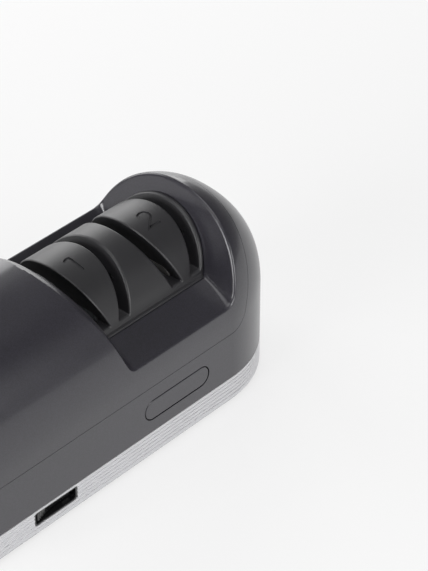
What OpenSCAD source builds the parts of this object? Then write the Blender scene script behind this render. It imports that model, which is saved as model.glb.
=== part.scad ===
// Electric knife sharpener, two stages, seen from the front: +X right, +Y to the back, +Z up.
// The origin is on the table under the middle of the body. All sizes are millimetres.
// Pieces are drawn about the upright plane of the drive axis and seat() moves them to the origin.
// A loaf-shaped hood sits in a cradle with two domed ends. A saddle cut across the hood holds
// the slot guide, whose four leaning slots lead a blade against two grinding wheels.

/* [Body] */
// Overall length, end to end
body_l = 238; // [230:1:250]
// Depth of the body in front of the drive axis
front_d = 47; // [46:0.5:50]
// Depth of the body behind the drive axis
back_d = 40; // [39:0.5:45]
// Height of the crown above the table
crown_h = 89; // [88:0.5:96]
// Height where the upright sides roll over into the crown
shoulder_h = 41.5; // [39:0.5:44]
// Fullness of the crown's front curve, where 2 is an ellipse
front_n = 2.25; // [2.1:0.05:2.5]
// Fullness of the crown's back curve, where 2 is an ellipse
back_n = 2; // [1.9:0.05:2.3]
// Plan radius of the two front corners
front_r = 46; // [42:1:46]
// Plan radius of the two back corners
back_r = 38; // [34:1:39]
// Length over which the crown falls away at each end
dome_l = 45; // [40:1:50]
// Wall thickness of the housings
wall = 2.4; // [2:0.1:3]

/* [Parting line] */
// Height of the long horizontal seam between hood and cradle
seam_h = 37; // [34:0.5:39]
// Distance from each end to where the seam turns up
cap_inset = 39.5; // [35:0.5:41]
// Lean of the seam at the ends, outward as it climbs
cap_lean = 20; // [16:1:22]
// Radius of the turn of the seam
cap_r = 10; // [6:1:14]
// Width of the seam's shadow gap
seam_gap = 0.35; // [0.2:0.05:0.6]
// Thickness of the tongue that locates the hood on the cradle
tongue_t = 1.4; // [1:0.1:2]

/* [Base] */
// Height of the rubber feet below the base plate
foot_stand = 1.5; // [1:0.5:3]
// Radius of a foot
foot_r = 7; // [5:0.5:9]
// Distance of the feet from the body's ends
foot_inset = 33; // [29:1:37]
// Distance of the feet from the middle, front to back
foot_y = 24; // [20:1:26]
// Thickness of the base plate
plate_t = 2.5; // [2:0.5:3]
// Height of the ribbed trim band
band_h = 12; // [11.5:0.5:14]
// Radial thickness of the trim band
band_t = 2; // [1.6:0.1:2.4]
// Number of ribs around the trim band
band_ribs = 6; // [5:1:7]
// Depth of the grooves between the ribs
rib_depth = 0.55; // [0.3:0.05:0.8]

/* [Saddle and slot guide] */
// Distance from the right end to the second, fine wheel
stage_inset = 52.8; // [51:0.1:54]
// Distance between the coarse and the fine wheel
stage_pitch = 42.5; // [41:0.5:44]
// Lean of the slots from upright
slot_lean = 20; // [18:0.5:21]
// Width of a slot, square to its walls
slot_w = 5.4; // [5.2:0.1:5.6]
// Height of the slot floors
slot_floor_h = 59.5; // [59:0.5:61]
// Width of a numbered block at the slot floors, its narrowest place
block_foot_w = 5.4; // [5:0.1:6.4]
// Radius of the arched tops of the blocks
arch_r = 28; // [27.5:0.5:28.5]
// Height of the centre of the arched tops
arch_h = 52; // [51:0.5:53]
// Thickness of the rim beside the outer slots
rim_t = 2; // [1.6:0.1:2.4]
// Height of the saddle's floor, which carries the guide's deck
floor_h = 56; // [55:0.5:57]
// Thickness of the deck
deck_t = 1.2; // [1:0.1:1.8]
// Width of the deck's rim in front of the arches
deck_rim = 1.5; // [1:0.5:2.5]
// Fall of the apron in front of the deck, in degrees
apron_fall = 17; // [14:1:20]
// Rise of the apron behind the deck, in degrees
apron_rise = 38; // [30:1:42]
// Radius between the front apron and the saddle's flanks
saddle_r = 8; // [6:0.5:10]
// Radius between the back apron and the saddle's flanks
saddle_back_r = 16; // [12:1:18]
// Length of the rounded nose where the long hump meets the saddle
nose_l = 6; // [4:0.5:8]
// Height lost over that nose
nose_drop = 5; // [3:0.5:6]
// Clearance of the guide in the saddle
guide_clear = 0.2; // [0.15:0.05:0.4]

/* [Blade guides] */
// Thickness of the sheet steel blade guides
leaf_t = 0.5; // [0.3:0.1:0.6]
// Length of a blade guide along its slot
leaf_l = 28; // [20:1:30]
// Height of a blade guide
leaf_h = 10; // [8:0.5:11]

/* [Badge] */
// Distance from the middle to the badge's middle
badge_x = 39; // [32:1:44]
// Height of the badge's middle
badge_z = 25; // [23:0.5:27]
// Length of the badge
badge_l = 38; // [30:1:44]
// Height of the badge
badge_w = 9.5; // [8:0.5:11]
// Thickness of the badge
badge_t = 1; // [0.8:0.1:1.4]

/* [Switch] */
// Distance from the left end to the middle of the switch
switch_inset = 87; // [79:1:91]
// Length of the switch opening in the band
switch_l = 24; // [20:1:26]
// Height of the switch opening in the band
switch_w = 7; // [6.5:0.5:8]
// Wall of the switch's bezel
bezel_t = 0.9; // [0.8:0.1:1.2]
// Travel of the rocker from off to on, in degrees
rocker_travel = 14; // [10:1:16]

/* [Drive] */
// Height of the motor and wheel axis
shaft_h = 43.5; // [43:0.5:45]
// Radius of a grinding wheel
wheel_r = 25; // [23:0.5:25.5]
// Thickness of a grinding wheel
wheel_t = 5.6; // [5:0.2:6]
// Radius of the wheel shaft
shaft_r = 3; // [2.5:0.5:3.5]
// Radius of the hubs that clamp the wheels
hub_r = 5.5; // [5:0.5:6]
// Running clearance of a shaft in its bush
run_clear = 0.05; // [0.03:0.01:0.08]
// Outer radius of the motor's steel can
motor_r = 25; // [22:0.5:26]
// Length of the steel can
motor_l = 56; // [50:1:58]
// Distance from the left end to the back of the steel can
motor_inset = 23; // [21:1:25]
// Radius of the motor shaft
motor_shaft_r = 2.5; // [2:0.5:3]

/* [Brackets and fasteners] */
// Distance from the coarse wheel to the inner bearing wall
inner_gap = 21.7; // [20:0.1:23]
// Distance from the fine wheel to the outer bearing bracket
outer_gap = 17.8; // [16:0.1:19]
// Thickness of the two bearing supports
support_t = 3; // [2.5:0.5:4]
// Half width of the inner bearing wall
inner_half_w = 34; // [28:1:34]
// Half width of the outer bearing bracket
outer_half_w = 20; // [16:1:22]
// Half width of the motor's bracket
motor_half_w = 18; // [17:1:18]
// Thickness of the motor's bracket and of all bracket feet
bracket_t = 2; // [1.5:0.5:2.5]
// Length of a bracket's foot
foot_l = 14; // [12:1:16]
// Radius of the screws
screw_r = 1.5; // [1.2:0.1:1.7]
// Length of the screws that close the housings
screw_l = 10; // [8:1:12]
// Radius of the screw posts
post_r = 3.6; // [3:0.1:4]
// Distance of the cradle's screw posts from the body's ends
post_inset = 15; // [14:1:17]
// Distance of the cradle's screw posts from the drive axis
post_y = 15; // [13:1:16]

/* [Cord inlet] */
// Distance from the left end to the cord inlet at the back
inlet_inset = 57; // [56:1:69]
// Height of the cord inlet
inlet_z = 25; // [22:0.5:28]
// Radius of the cord's hole through the grommet
inlet_r = 3.5; // [3:0.1:4.5]

/* [Hidden] */

$fn = 64;
far = 200;                        // longer than the body, for cuts right through
arch_steps = 32;
end_rings = 10;
blunt = 0.2;                      // keeps a small flat at the tip of each dome
half_l = body_l / 2;
front_cr = min(front_r, front_d - 1);
back_cr = min(back_r, back_d - 1);
cap_x = half_l - cap_inset;
foot_x = half_l - foot_inset;
axis_y = (front_d - back_d) / 2;
plate_top = foot_stand + plate_t;
band_z0 = foot_stand + 0.6;       // a thin edge of the base plate shows below the band
band_top = foot_stand + band_h;
skirt_in = band_t + 0.1;          // the cradle's skirt stands behind the band
skirt_t = 2.2;
tongue_lap = 2.5;                 // height of the tongue above and below the seam
tongue_fit = 0.1;                 // room between the tongue and the hood
panel_x = half_l - front_cr - 0.5;  // the cradle's straight walls end here
inlet_x = half_l - inlet_inset;
switch_x = half_l - switch_inset;
lean = tan(slot_lean);
slot_xw = slot_w / cos(slot_lean);
rim_xw = rim_t / cos(slot_lean);
fine_x = half_l - stage_inset;
stage_x = fine_x - stage_pitch;
slot_offset = block_foot_w / 2 + slot_xw / 2;
guide_reach = block_foot_w / 2 + slot_xw + rim_xw;
deck_hd = sqrt(pow(arch_r, 2) - pow(floor_h + deck_t - arch_h, 2)) + deck_rim;
wheel_clear = 0.8;
screw_head_r = screw_r + 1.3;
screw_head_h = 1.6;
screw_fit = 0.05;                 // radial room of a screw in its hole

// Places of screws in plan
hood_post_x = half_l - 47;
hood_posts = [for (sx = [-1, 1]) each [[sx * hood_post_x, -35], [sx * hood_post_x, 30]]];
cradle_posts = [for (sx = [-1, 1], sy = [-1, 1]) [sx * (half_l - post_inset), sy * post_y]];

// Switch
rocker_r = switch_l / 2 - bezel_t - 0.35;
rocker_pivot = 5.5;               // depth of the rocker's pins behind the band's face
rocker_sink = rocker_r * tan(rocker_travel) + 0.2;
pin_r = 0.9;
bezel_depth = 9.6;
switch_body_d = 12;
switch_body_in = 2.5;             // the contact block is shorter than the bezel by this at each end
blade_pitch = 5;                  // between the switch's terminals

// Motor
can_t = 1.6;
boss_r = 7;
magnet_t = 3.5;
magnet_l = 40;
air_gap = 0.5;                    // between the magnets and the armature
motor_screw_pcd = 2 * (motor_half_w - 4);
motor_back = -half_l + motor_inset;
motor_x = -motor_back - motor_l;  // distance of the motor's front face from the middle
rotor_mid = -motor_x - motor_l / 2 + 2;
armature_r = motor_r - can_t - magnet_t - air_gap;
core_l = motor_l - 26;
commutator_r = 6;
commutator_l = 7;
commutator_x1 = rotor_mid - core_l / 2 - 5;

// Wheels
inner_wall_x = stage_x - inner_gap;
outer_x = fine_x + outer_gap;
hub_t = 3;
spacer_r = 4.5;
bush_r = 5.5;
drive_gap = inner_wall_x + motor_x;
coupling_l = 0.52 * drive_gap;
coupling_x0 = -motor_x + 0.31 * drive_gap;
shaft_x0 = coupling_x0 + coupling_l / 2;
shaft_x1 = outer_x + support_t + 5;
shoulder_x0 = inner_wall_x + support_t + 2.3;

// Holes of the bracket screws, as places in plan
bracket_holes = [for (s = [-1, 1]) each [
    [-motor_x + foot_l - 5, s * (motor_half_w - 5)],
    [inner_wall_x + foot_l - 5, s * (inner_half_w - 10)],
    [outer_x - 5, s * (outer_half_w - 6)]]];

// Rectifier board
board_t = 1.6;
part_h = 6;                       // tallest part on the board
board_z = min(plate_top + 5, shaft_h - motor_r - board_t - part_h - 0.9);
board_l = 44;
board_w = 47;
board_x = -motor_x - motor_l / 2;
board_posts = [for (sx = [-1, 1], sy = [-1, 1])
    [board_x + sx * (board_l / 2 - 4), sy * (board_w / 2 - 3.5)]];

// ---- Shape of the body -------------------------------------------------------------

// Rise of the crown over the shoulder at a distance x along the body, set in by i
function crown_rise(i, x) =
    let (e = max(0, abs(x) - (half_l - dome_l)), q = e / (dome_l + blunt - i))
    (crown_h - shoulder_h - i) * sqrt(max(0, 1 - q * q));

// Depth of one side of the body at a distance x along it, set in by i
function side_depth(d, r, i, x) =
    let (e = min(r - i, max(0, abs(x) - (half_l - r))))
    d - r + sqrt(pow(r - i, 2) - e * e);
function front_depth(i, x) = side_depth(front_d, front_cr, i, x);
function back_depth(i, x) = side_depth(back_d, back_cr, i, x);

// Height of the crown over a point in plan, set in by i
function crown_z(i, x, y) =
    let (n = y < 0 ? front_n : back_n, w = y < 0 ? front_depth(i, x) : back_depth(i, x))
    shoulder_h + crown_rise(i, x) * pow(max(0, 1 - pow(abs(y) / w, n)), 1 / n);

// The arch from the back shoulder over the crown to the front shoulder, as points of y and z
function arch(front, back, rise) = [
    for (k = [0 : arch_steps])
        let (a = 180 * k / arch_steps, n = a < 90 ? back_n : front_n, w = a < 90 ? back : -front)
        [w * pow(abs(cos(a)), 2 / n), shoulder_h + rise * pow(sin(a), 2 / n)]];

// One closed section across the body: up the back, over the crown and down the front
function section(i, x, z_low) =
    let (pts = arch(front_depth(i, x), back_depth(i, x), crown_rise(i, x)))
    concat([[x, pts[0][0], z_low]], [for (p = pts) [x, p[0], p[1]]],
        [[x, pts[arch_steps][0], z_low]]);

// Stations along the body, close together where the ends turn
function stations(i) =
    let (reach = front_cr - i, x0 = half_l - front_cr)
    concat(
        [for (k = [end_rings : -1 : 0]) -x0 - reach * sin(90 * k / end_rings)],
        [for (k = [0 : end_rings]) x0 + reach * sin(90 * k / end_rings)]);

// Skin over a list of closed sections that all have the same number of points
module skin(rings) {
    n = len(rings[0]);
    m = len(rings);
    sides = [for (r = [0 : m - 2]) for (k = [0 : n - 1])
        let (a = r * n + k, b = r * n + (k + 1) % n)
        each [[a, a + n, b], [b, a + n, b + n]]];
    first = [for (k = [0 : n - 1]) k];
    last = [for (k = [n - 1 : -1 : 0]) (m - 1) * n + k];
    polyhedron([for (r = rings) each r], concat(sides, [first, last]), convexity = 6);
}

// The loaf shape of the body, set in by i
module loaf(i, z_low) {
    skin([for (x = stations(i)) section(i, x, z_low)]);
}

// Rounded oblong plan of the body, set in by i
module plan(i) {
    half_plan(front_d, front_cr, i, -1);
    half_plan(back_d, back_cr, i, 1);
}

// The half of the plan in front of the drive axis, s -1, or behind it, s 1
module half_plan(d, r, i, s) {
    x = half_l - r;
    lap = 0.5;
    for (box = [[x, d - i], [half_l - i, d - r]])
        translate([-box[0], s > 0 ? -lap : -box[1]]) square([2 * box[0], box[1] + lap]);
    for (e = [-1, 1]) translate([e * x, s * (d - r)]) intersection() {
        circle(r = r - i, $fn = 96);
        translate([-far, s > 0 ? 0 : -far]) square([2 * far, far]);
    }
}

// Moves a piece from the drive axis to the object's origin
module seat() {
    translate([0, axis_y, 0]) children();
}

// Turns a drawing of x and z upright and gives it a depth along y
module across(depth) {
    rotate([90, 0, 0]) linear_extrude(depth, center = true) children();
}

// The hood's share of the side view, grown by g
module hood_view(g) {
    r = cap_r + g;
    cx = cap_x - cap_r * (1 - sin(cap_lean)) / cos(cap_lean);
    cz = seam_h + cap_r;
    turn = [for (k = [0 : 8]) let (a = -90 + (90 - cap_lean) * k / 8)
        [cx + r * cos(a), cz + r * sin(a)]];
    tip = turn[8] + far * [sin(cap_lean), cos(cap_lean)];
    polygon(concat(
        turn, [tip, [-tip[0], tip[1]]],
        [for (k = [8 : -1 : 0]) [-turn[k][0], turn[k][1]]]));
}

// ---- Shape of the saddle -----------------------------------------------------------

// Left and right faces of the slot guide at a height z
function guide_left(z) = stage_x - guide_reach - lean * (z - slot_floor_h);
function guide_right(z) = fine_x + guide_reach + lean * (z - slot_floor_h);

// Side view of the slot guide between two heights, with its ends set in by i
module guide_view(i, z0, z1) {
    polygon([
        [guide_left(z0) + i, z0], [guide_right(z0) - i, z0],
        [guide_right(z1) - i, z1], [guide_left(z1) + i, z1]]);
}

// Side view of the saddle above z_low with lower corners of radius r, grown by g
module saddle_view(z_low, r, g) {
    z_high = crown_h + far;
    c = cos(slot_lean);
    z0 = z_low - g;
    rg = r + g;
    left = guide_left(z0) - nose_l - (guide_clear + g) / c;
    right = guide_right(z0) + (guide_clear + g) / c;
    step = rg * (1 - sin(slot_lean)) / c;
    function low_turn(x, s) = [for (k = [0 : 8]) let (a = -90 + (90 - slot_lean) * k / 8)
        [x + s * (rg * cos(a) - step), z0 + rg + rg * sin(a)]];
    polygon(concat(
        low_turn(right, 1),
        [[right + lean * (z_high - z0), z_high], [left - lean * (z_high - z0), z_high]],
        [for (k = [8 : -1 : 0]) low_turn(left, -1)[k]]));
}

// End view of the space over the saddle's floor and its two aprons, lowered by g
module apron_view(g) {
    reach = far / 2;
    z = floor_h - g;
    polygon([
        [-reach, z - tan(apron_fall) * (reach - deck_hd)], [-deck_hd, z], [deck_hd, z],
        [reach, z + tan(apron_rise) * (reach - deck_hd)],
        [reach, crown_h + far], [-reach, crown_h + far]]);
}

// The open space of the saddle, grown by g
module saddle(g) {
    front_low = floor_h - tan(apron_fall) * (front_d - deck_hd);
    intersection() {
        union() {
            translate([0, deck_hd - far, 0]) across(2 * far) saddle_view(front_low, saddle_r, g);
            translate([0, deck_hd + far - 1, 0]) across(2 * far)
                saddle_view(floor_h, saddle_back_r, g);
        }
        rotate([90, 0, 90]) linear_extrude(2 * far, center = true) apron_view(g);
    }
}

// The rounded nose of the long hump, which leans back over the saddle
module nose() {
    function nose_ring(s) =
        let (d = nose_drop * pow(max(0, s), 1.5),
             pts = arch(front_d - d, back_d - d, crown_h - shoulder_h - d),
             loop = concat([[pts[0][0], seam_h]], pts, [[pts[arch_steps][0], seam_h]]))
        [for (p = loop) [guide_left(p[1]) - guide_clear - nose_l * (1 - s), p[0], p[1]]];
    skin([for (s = [-0.3, 0, 0.35, 0.7, 1]) nose_ring(s)]);
}

// ---- Fasteners ---------------------------------------------------------------------

// A screw with a pan head, its head's underside at the origin, its shank upward
module screw(length) {
    rotate([180, 0, 0]) difference() {
        cylinder(r1 = screw_head_r, r2 = screw_head_r * 0.8, h = screw_head_h, $fn = 24);
        translate([0, 0, screw_head_h - 0.8]) for (a = [0, 90])
            rotate(a) translate([-1.7, -0.35, 0]) cube([3.4, 0.7, 2]);
    }
    cylinder(r = screw_r, h = length, $fn = 24);
}

// ---- Housings ----------------------------------------------------------------------

module upper_housing() color("dimgray") seat() {
    window = 2;                   // the floor's ledge under the deck
    difference() {
        union() {
            difference() {
                intersection() {
                    loaf(0, seam_h - 5);
                    across(2 * far) hood_view(-seam_gap);
                }
                difference() {
                    loaf(wall, seam_h - 10);
                    saddle(wall);
                }
            }
            hood_posts_solid();
        }
        difference() {
            saddle(0);
            nose();
        }
        across(2 * (deck_hd - deck_rim - window + guide_clear))
            guide_view(window - guide_clear, floor_h - wall - 6, floor_h + 1);
        for (p = hood_posts) post_hole(p);
    }
}

// Hole for a screw up a post at p
module post_hole(p) {
    translate([p[0], p[1], plate_top - 1])
        cylinder(r = screw_r + screw_fit, h = screw_l + 3, $fn = 24);
}

// The hood's screw posts, from the base plate up to the hood's inner face or saddle floor
module hood_posts_solid() {
    for (p = hood_posts) {
        over_saddle = p[0] > 0;
        drop = p[1] < 0 ? tan(apron_fall) * (-p[1] - deck_hd) : 0;
        top = over_saddle ? floor_h - drop - wall / 2
            : crown_z(wall, p[0] - post_r, p[1] + sign(p[1]) * post_r) + wall / 3;
        translate([p[0], p[1], plate_top]) cylinder(r = post_r, h = top - plate_top, $fn = 32);
    }
}

// A straight wall of the cradle, drawn behind the drive axis at a depth d
module cradle_wall(d) {
    // wall, tongue, ledge and skirt as [inset, thickness, height at the foot, height at the top]
    for (w = [[0, wall, band_top, seam_h],
              [wall + tongue_fit, tongue_t - tongue_fit, seam_h - tongue_lap, seam_h + tongue_lap],
              [wall - tongue_fit, tongue_t + tongue_fit, band_top + 2, seam_h],
              [wall, skirt_t, band_top - 2, band_top + 2],
              [skirt_in, skirt_t, plate_top, band_top]])
        translate([-panel_x, d - w[0] - w[1], w[2]]) cube([2 * panel_x, w[1], w[3] - w[2]]);
}

module lower_front() color("dimgray") seat() {
    difference() {
        rotate(180) cradle_wall(front_d);
        // pocket for the badge
        translate([badge_x, -front_d, badge_z]) rotate([90, 0, 0])
            capsule(badge_l + 0.7, badge_w + 0.7, 2 * badge_t);
        // opening for the switch
        switch_hole(0, wall + 6);
    }
}

module lower_back() color("dimgray") seat() {
    difference() {
        cradle_wall(back_d);
        // hole for the cord grommet
        translate([-inlet_x, back_d + 1, inlet_z]) rotate([90, 0, 0])
            cylinder(r = inlet_r + 2.5, h = wall + tongue_t + 3);
    }
}

// One end of the loaf past the straight walls, on the side s, set in by i
module loaf_end(i, z_low, s) {
    x0 = half_l - front_cr;
    xs = concat([panel_x - (i > 0 ? 1 : 0)],
        [for (k = [0 : end_rings]) x0 + (front_cr - i) * sin(90 * k / end_rings)]);
    n = len(xs) - 1;
    skin([for (k = [0 : n]) section(i, s > 0 ? xs[k] : -xs[n - k], z_low)]);
}

// The part of the plan past the straight walls, between two insets
module end_ring(i, t, s) {
    difference() {
        plan(i);
        plan(i + t);
        translate([s * (panel_x - far), 0]) square(2 * far, center = true);
    }
}

// A domed end of the cradle on the side s, with its screw posts
module cradle_end(s) {
    post_h = 30;
    rib_end = half_l - skirt_in - 1 - back_cr + sqrt(pow(back_cr, 2) - pow(post_y, 2));
    difference() {
        union() {
            difference() {
                loaf_end(0, band_top, s);
                across(2 * far) hood_view(0);
                loaf_end(wall, band_top - 1, s);
            }
            // tongue that the hood drops over, and its root in the wall under the seam
            for (part = [[tongue_fit, -tongue_lap], [-tongue_fit, 0]]) intersection() {
                difference() {
                    loaf_end(wall + part[0], band_top + 1, s);
                    loaf_end(wall + tongue_t, band_top, s);
                    translate([s * (panel_x - far), 0, 0]) cube(2 * far, center = true);
                }
                across(2 * far) difference() {
                    hood_view(tongue_lap);
                    hood_view(part[1]);
                }
            }
            // ledge and skirt behind the trim band
            translate([0, 0, band_top - 2]) linear_extrude(4) end_ring(wall, skirt_t, s);
            translate([0, 0, plate_top]) linear_extrude(band_top - plate_top)
                end_ring(skirt_in, skirt_t, s);
            // screw posts and the ribs that tie them to the skirt
            for (y = [-post_y, post_y]) {
                translate([s * (half_l - post_inset), y, plate_top])
                    cylinder(r = post_r, h = post_h, $fn = 32);
                translate([s * (half_l - post_inset + rib_end) / 2, y, plate_top + post_h / 2])
                    cube([rib_end - half_l + post_inset, 1.6, post_h], center = true);
            }
        }
        for (p = cradle_posts) post_hole(p);
    }
}

module lower_left_end() color("dimgray") seat() cradle_end(-1);

module lower_right_end() color("dimgray") seat() cradle_end(1);

// A flat bar with two round ends, centred on the origin
module capsule(length, width, depth) {
    linear_extrude(depth, center = true) {
        square([length - width, width], center = true);
        for (s = [-1, 1]) translate([s * (length - width) / 2, 0]) circle(d = width, $fn = 48);
    }
}

// Space for the switch through the front of the base, grown by g
module switch_hole(g, depth) {
    translate([-switch_x, -front_d + depth / 2 - 1, switch_z()])
        cube([switch_l + 2 * g, depth + 2, switch_w + 2 * g], center = true);
}

// Height of the middle of the switch, just under the band's top edge
function switch_z() = band_top - 1 - switch_w / 2;

module trim_band() color("gainsboro") seat() {
    pitch = (band_top - band_z0) / band_ribs;
    difference() {
        union() {
            translate([0, 0, band_z0]) linear_extrude(band_top - band_z0) difference() {
                plan(rib_depth);
                plan(band_t);
            }
            for (k = [0 : band_ribs - 1]) translate([0, 0, band_z0 + k * pitch])
                linear_extrude(pitch * 0.62) difference() {
                    plan(0);
                    plan(band_t);
                }
        }
        switch_hole(0, band_t + 4);
    }
}

module base_plate() color("dimgray") seat() {
    difference() {
        union() {
            translate([0, 0, foot_stand]) linear_extrude(band_z0 - foot_stand) plan(0.4);
            translate([0, 0, foot_stand]) linear_extrude(plate_t) plan(band_t + 0.1);
            // stand-offs of the rectifier board
            for (p = board_posts) translate([p[0], p[1], plate_top])
                cylinder(r = 2.5, h = board_z - plate_top, $fn = 24);
        }
        for (p = concat(hood_posts, cradle_posts)) translate([p[0], p[1], foot_stand - 1]) {
            cylinder(r = screw_r + 0.2, h = 10, $fn = 24);
            cylinder(r = screw_head_r + 0.4, h = 1 + screw_head_h, $fn = 32);
        }
        for (sx = [-1, 1], sy = [-1, 1]) translate([sx * foot_x, sy * foot_y, foot_stand - 1])
            cylinder(r = foot_r, h = 1.8);
        // vents under the motor
        for (k = [-4 : 4]) translate([-motor_x - motor_l / 2 + k * 5, 0, foot_stand - 1])
            capsule_slot(2, 30);
        // holes of the bracket screws
        for (p = bracket_holes) translate([p[0], p[1], foot_stand - 1])
            cylinder(r = screw_r + screw_fit, h = plate_t + 2, $fn = 24);
    }
}

// A slot with round ends along y, cut upward from the origin
module capsule_slot(width, length) {
    linear_extrude(10) {
        square([width, length - width], center = true);
        for (s = [-1, 1]) translate([0, s * (length - width) / 2]) circle(d = width, $fn = 24);
    }
}

module rubber_feet() color("black") seat() {
    for (sx = [-1, 1], sy = [-1, 1]) translate([sx * foot_x, sy * foot_y, 0]) {
        cylinder(r1 = foot_r - 1, r2 = foot_r - 0.2, h = 0.8);
        translate([0, 0, 0.8]) cylinder(r = foot_r - 0.2, h = foot_stand);
    }
}

module base_screws() color("silver") seat() {
    for (p = concat(hood_posts, cradle_posts))
        translate([p[0], p[1], foot_stand + screw_head_h]) screw(screw_l);
}

// ---- Slot guide --------------------------------------------------------------------

// Places its children in a slot's own frame: floor at z 0, walls upright, beside a wheel
module in_slot(stage, side) {
    translate([stage + side * slot_offset, 0, slot_floor_h]) rotate([0, side * slot_lean, 0])
        children();
}

// A round bar along x under the arches
module arch_bar(r) {
    translate([0, 0, arch_h]) rotate([0, 90, 0]) cylinder(r = r, h = 2 * far, center = true, $fn = 96);
}

// Clearance for the wheels, open into the foot of each slot
module wheel_pockets() {
    for (stage = [stage_x, fine_x]) translate([stage, 0, shaft_h]) rotate([0, 90, 0])
        cylinder(r = wheel_r + wheel_clear, h = wheel_t + 2 * wheel_clear, center = true, $fn = 96);
}

// The carrier: deck, slot floors and the skirt that snaps into the saddle's window
module slot_guide() color("dimgray") seat() {
    skirt = 2;
    skirt_drop = 6;
    skirt_hd = deck_hd - deck_rim - skirt;
    core_hd = skirt_hd - 1.5;
    deck_z = floor_h + deck_t;
    difference() {
        union() {
            across(2 * deck_hd) guide_view(0, floor_h, deck_z);
            across(2 * skirt_hd) guide_view(skirt, floor_h - skirt_drop, floor_h);
            // snap lugs that grip under the saddle's floor
            for (s = [-1, 1]) translate([(stage_x + fine_x) / 2, s * skirt_hd,
                floor_h - wall - 1.2]) cube([14, 2, 2], center = true);
            // floors of the slots
            intersection() {
                across(2 * arch_r + 2) guide_view(0, deck_z, slot_floor_h);
                arch_bar(arch_r);
            }
        }
        wheel_pockets();
        // room for the hubs and the spacer
        translate([inner_wall_x, -hub_r - 2, 0])
            cube([outer_x - inner_wall_x, 2 * (hub_r + 2), shaft_h + hub_r + 0.8]);
        // hollow under the middle block
        across(2 * core_hd) middle_view(2);
    }
}

// The numbered arched blocks and the rims beside the outer slots, seated on the carrier
module guide_blocks() color("dimgray") seat() {
    top = arch_h + arch_r + 1;
    core_hd = deck_hd - deck_rim - 3.5;
    difference() {
        intersection() {
            across(2 * arch_r + 2) guide_view(0, slot_floor_h, top);
            arch_bar(arch_r);
        }
        for (stage = [stage_x, fine_x], side = [-1, 1]) in_slot(stage, side) {
            translate([-slot_w / 2, -far / 2, -slot_w]) cube([slot_w, far, far]);
            // pocket for the blade guide in the slot's outer wall
            translate([side * slot_w / 2 - (leaf_t + 0.2), -leaf_l / 2, 3])
                cube([2 * (leaf_t + 0.2), leaf_l, leaf_h]);
        }
        wheel_pockets();
        // hollow in the middle block
        intersection() {
            across(2 * core_hd) middle_view(2);
            arch_bar(arch_r - 2);
        }
    }
}

// Side view of the middle block's core, with walls of thickness t
module middle_view(t) {
    function x_at(z) = block_foot_w / 2 + slot_xw + lean * (z - slot_floor_h) + t;
    z0 = floor_h - 10;
    z1 = arch_h + arch_r - t;
    polygon([
        [stage_x + x_at(slot_floor_h), z0], [fine_x - x_at(slot_floor_h), z0],
        [fine_x - x_at(slot_floor_h), slot_floor_h], [fine_x - x_at(z1), z1],
        [stage_x + x_at(z1), z1], [stage_x + x_at(slot_floor_h), slot_floor_h]]);
}

module blade_guides() color("goldenrod") seat() {
    for (stage = [stage_x, fine_x], side = [-1, 1]) in_slot(stage, side) {
        x = side * (slot_w / 2 + 0.2 + leaf_t / 2);
        translate([x - leaf_t / 2, -leaf_l / 2 + 0.3, 3.3])
            cube([leaf_t, leaf_l - 0.6, leaf_h - 0.6]);
    }
}

module badge_plate() color("gray") seat() {
    translate([badge_x, -front_d + badge_t / 2, badge_z]) rotate([90, 0, 0])
        capsule(badge_l, badge_w, badge_t);
}

// ---- Switch ------------------------------------------------------------------------

// Places its children at the middle of the switch's face, drawn flat, with y inward
module at_switch() {
    translate([-switch_x, -front_d, switch_z()]) children();
}

module switch_bezel() color("black") seat() {
    at_switch() difference() {
        translate([-switch_l / 2, 0.2, -switch_w / 2]) cube([switch_l, bezel_depth, switch_w]);
        translate([-switch_l / 2 + bezel_t, -1, -switch_w / 2 + bezel_t])
            cube([switch_l - 2 * bezel_t, bezel_depth + 2, switch_w - 2 * bezel_t]);
        translate([0, rocker_pivot, 0])
            cylinder(r = pin_r + run_clear, h = switch_w + 2, center = true, $fn = 32);
    }
}

module switch_rocker() color("black") seat() {
    h = switch_w - 2 * bezel_t - 0.6;
    at_switch() translate([0, rocker_pivot, 0]) rotate([0, 0, rocker_travel / 2]) {
        difference() {
            linear_extrude(h, center = true) intersection() {
                circle(r = rocker_r, $fn = 96);
                polygon([
                    [-rocker_r, rocker_sink - rocker_pivot - rocker_r * tan(rocker_travel / 2)],
                    [0, rocker_sink - rocker_pivot],
                    [rocker_r, rocker_sink - rocker_pivot - rocker_r * tan(rocker_travel / 2)],
                    [rocker_r, 0.5], [3, 3.2], [-3, 3.2], [-rocker_r, 0.5]]);
            }
            // grip grooves near the two ends
            for (s = [-1, 1], k = [0 : 2]) translate([s * (6 + 1.5 * k), rocker_sink - rocker_pivot
                - (6 + 1.5 * k) * tan(rocker_travel / 2) - 0.3, 0])
                cube([0.6, 1.1, h - 1.2], center = true);
        }
        cylinder(r = pin_r, h = switch_w - 0.3, center = true, $fn = 32);
    }
}

module switch_body() color("dimgray") seat() {
    length = switch_l - 2 * switch_body_in;
    at_switch() translate([-length / 2, 0.2 + bezel_depth, -switch_w / 2])
        cube([length, switch_body_d, switch_w]);
}

module switch_terminals() color("goldenrod") seat() {
    tab = [0.8, 6, 4.8];
    at_switch() for (k = [-1 : 1])
        translate([k * blade_pitch - tab[0] / 2, 0.2 + bezel_depth + switch_body_d, -tab[2] / 2])
            difference() {
                cube(tab);
                translate([-1, tab[1] - 2, tab[2] / 2]) rotate([0, 90, 0])
                    cylinder(r = tab[0], h = 3, $fn = 24);
            }
}

// ---- Motor -------------------------------------------------------------------------

// A bar along x from x0 to x1 on the drive axis
module axle(r, x0, x1) {
    translate([x0, 0, shaft_h]) rotate([0, 90, 0]) cylinder(r = r, h = x1 - x0);
}

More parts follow.
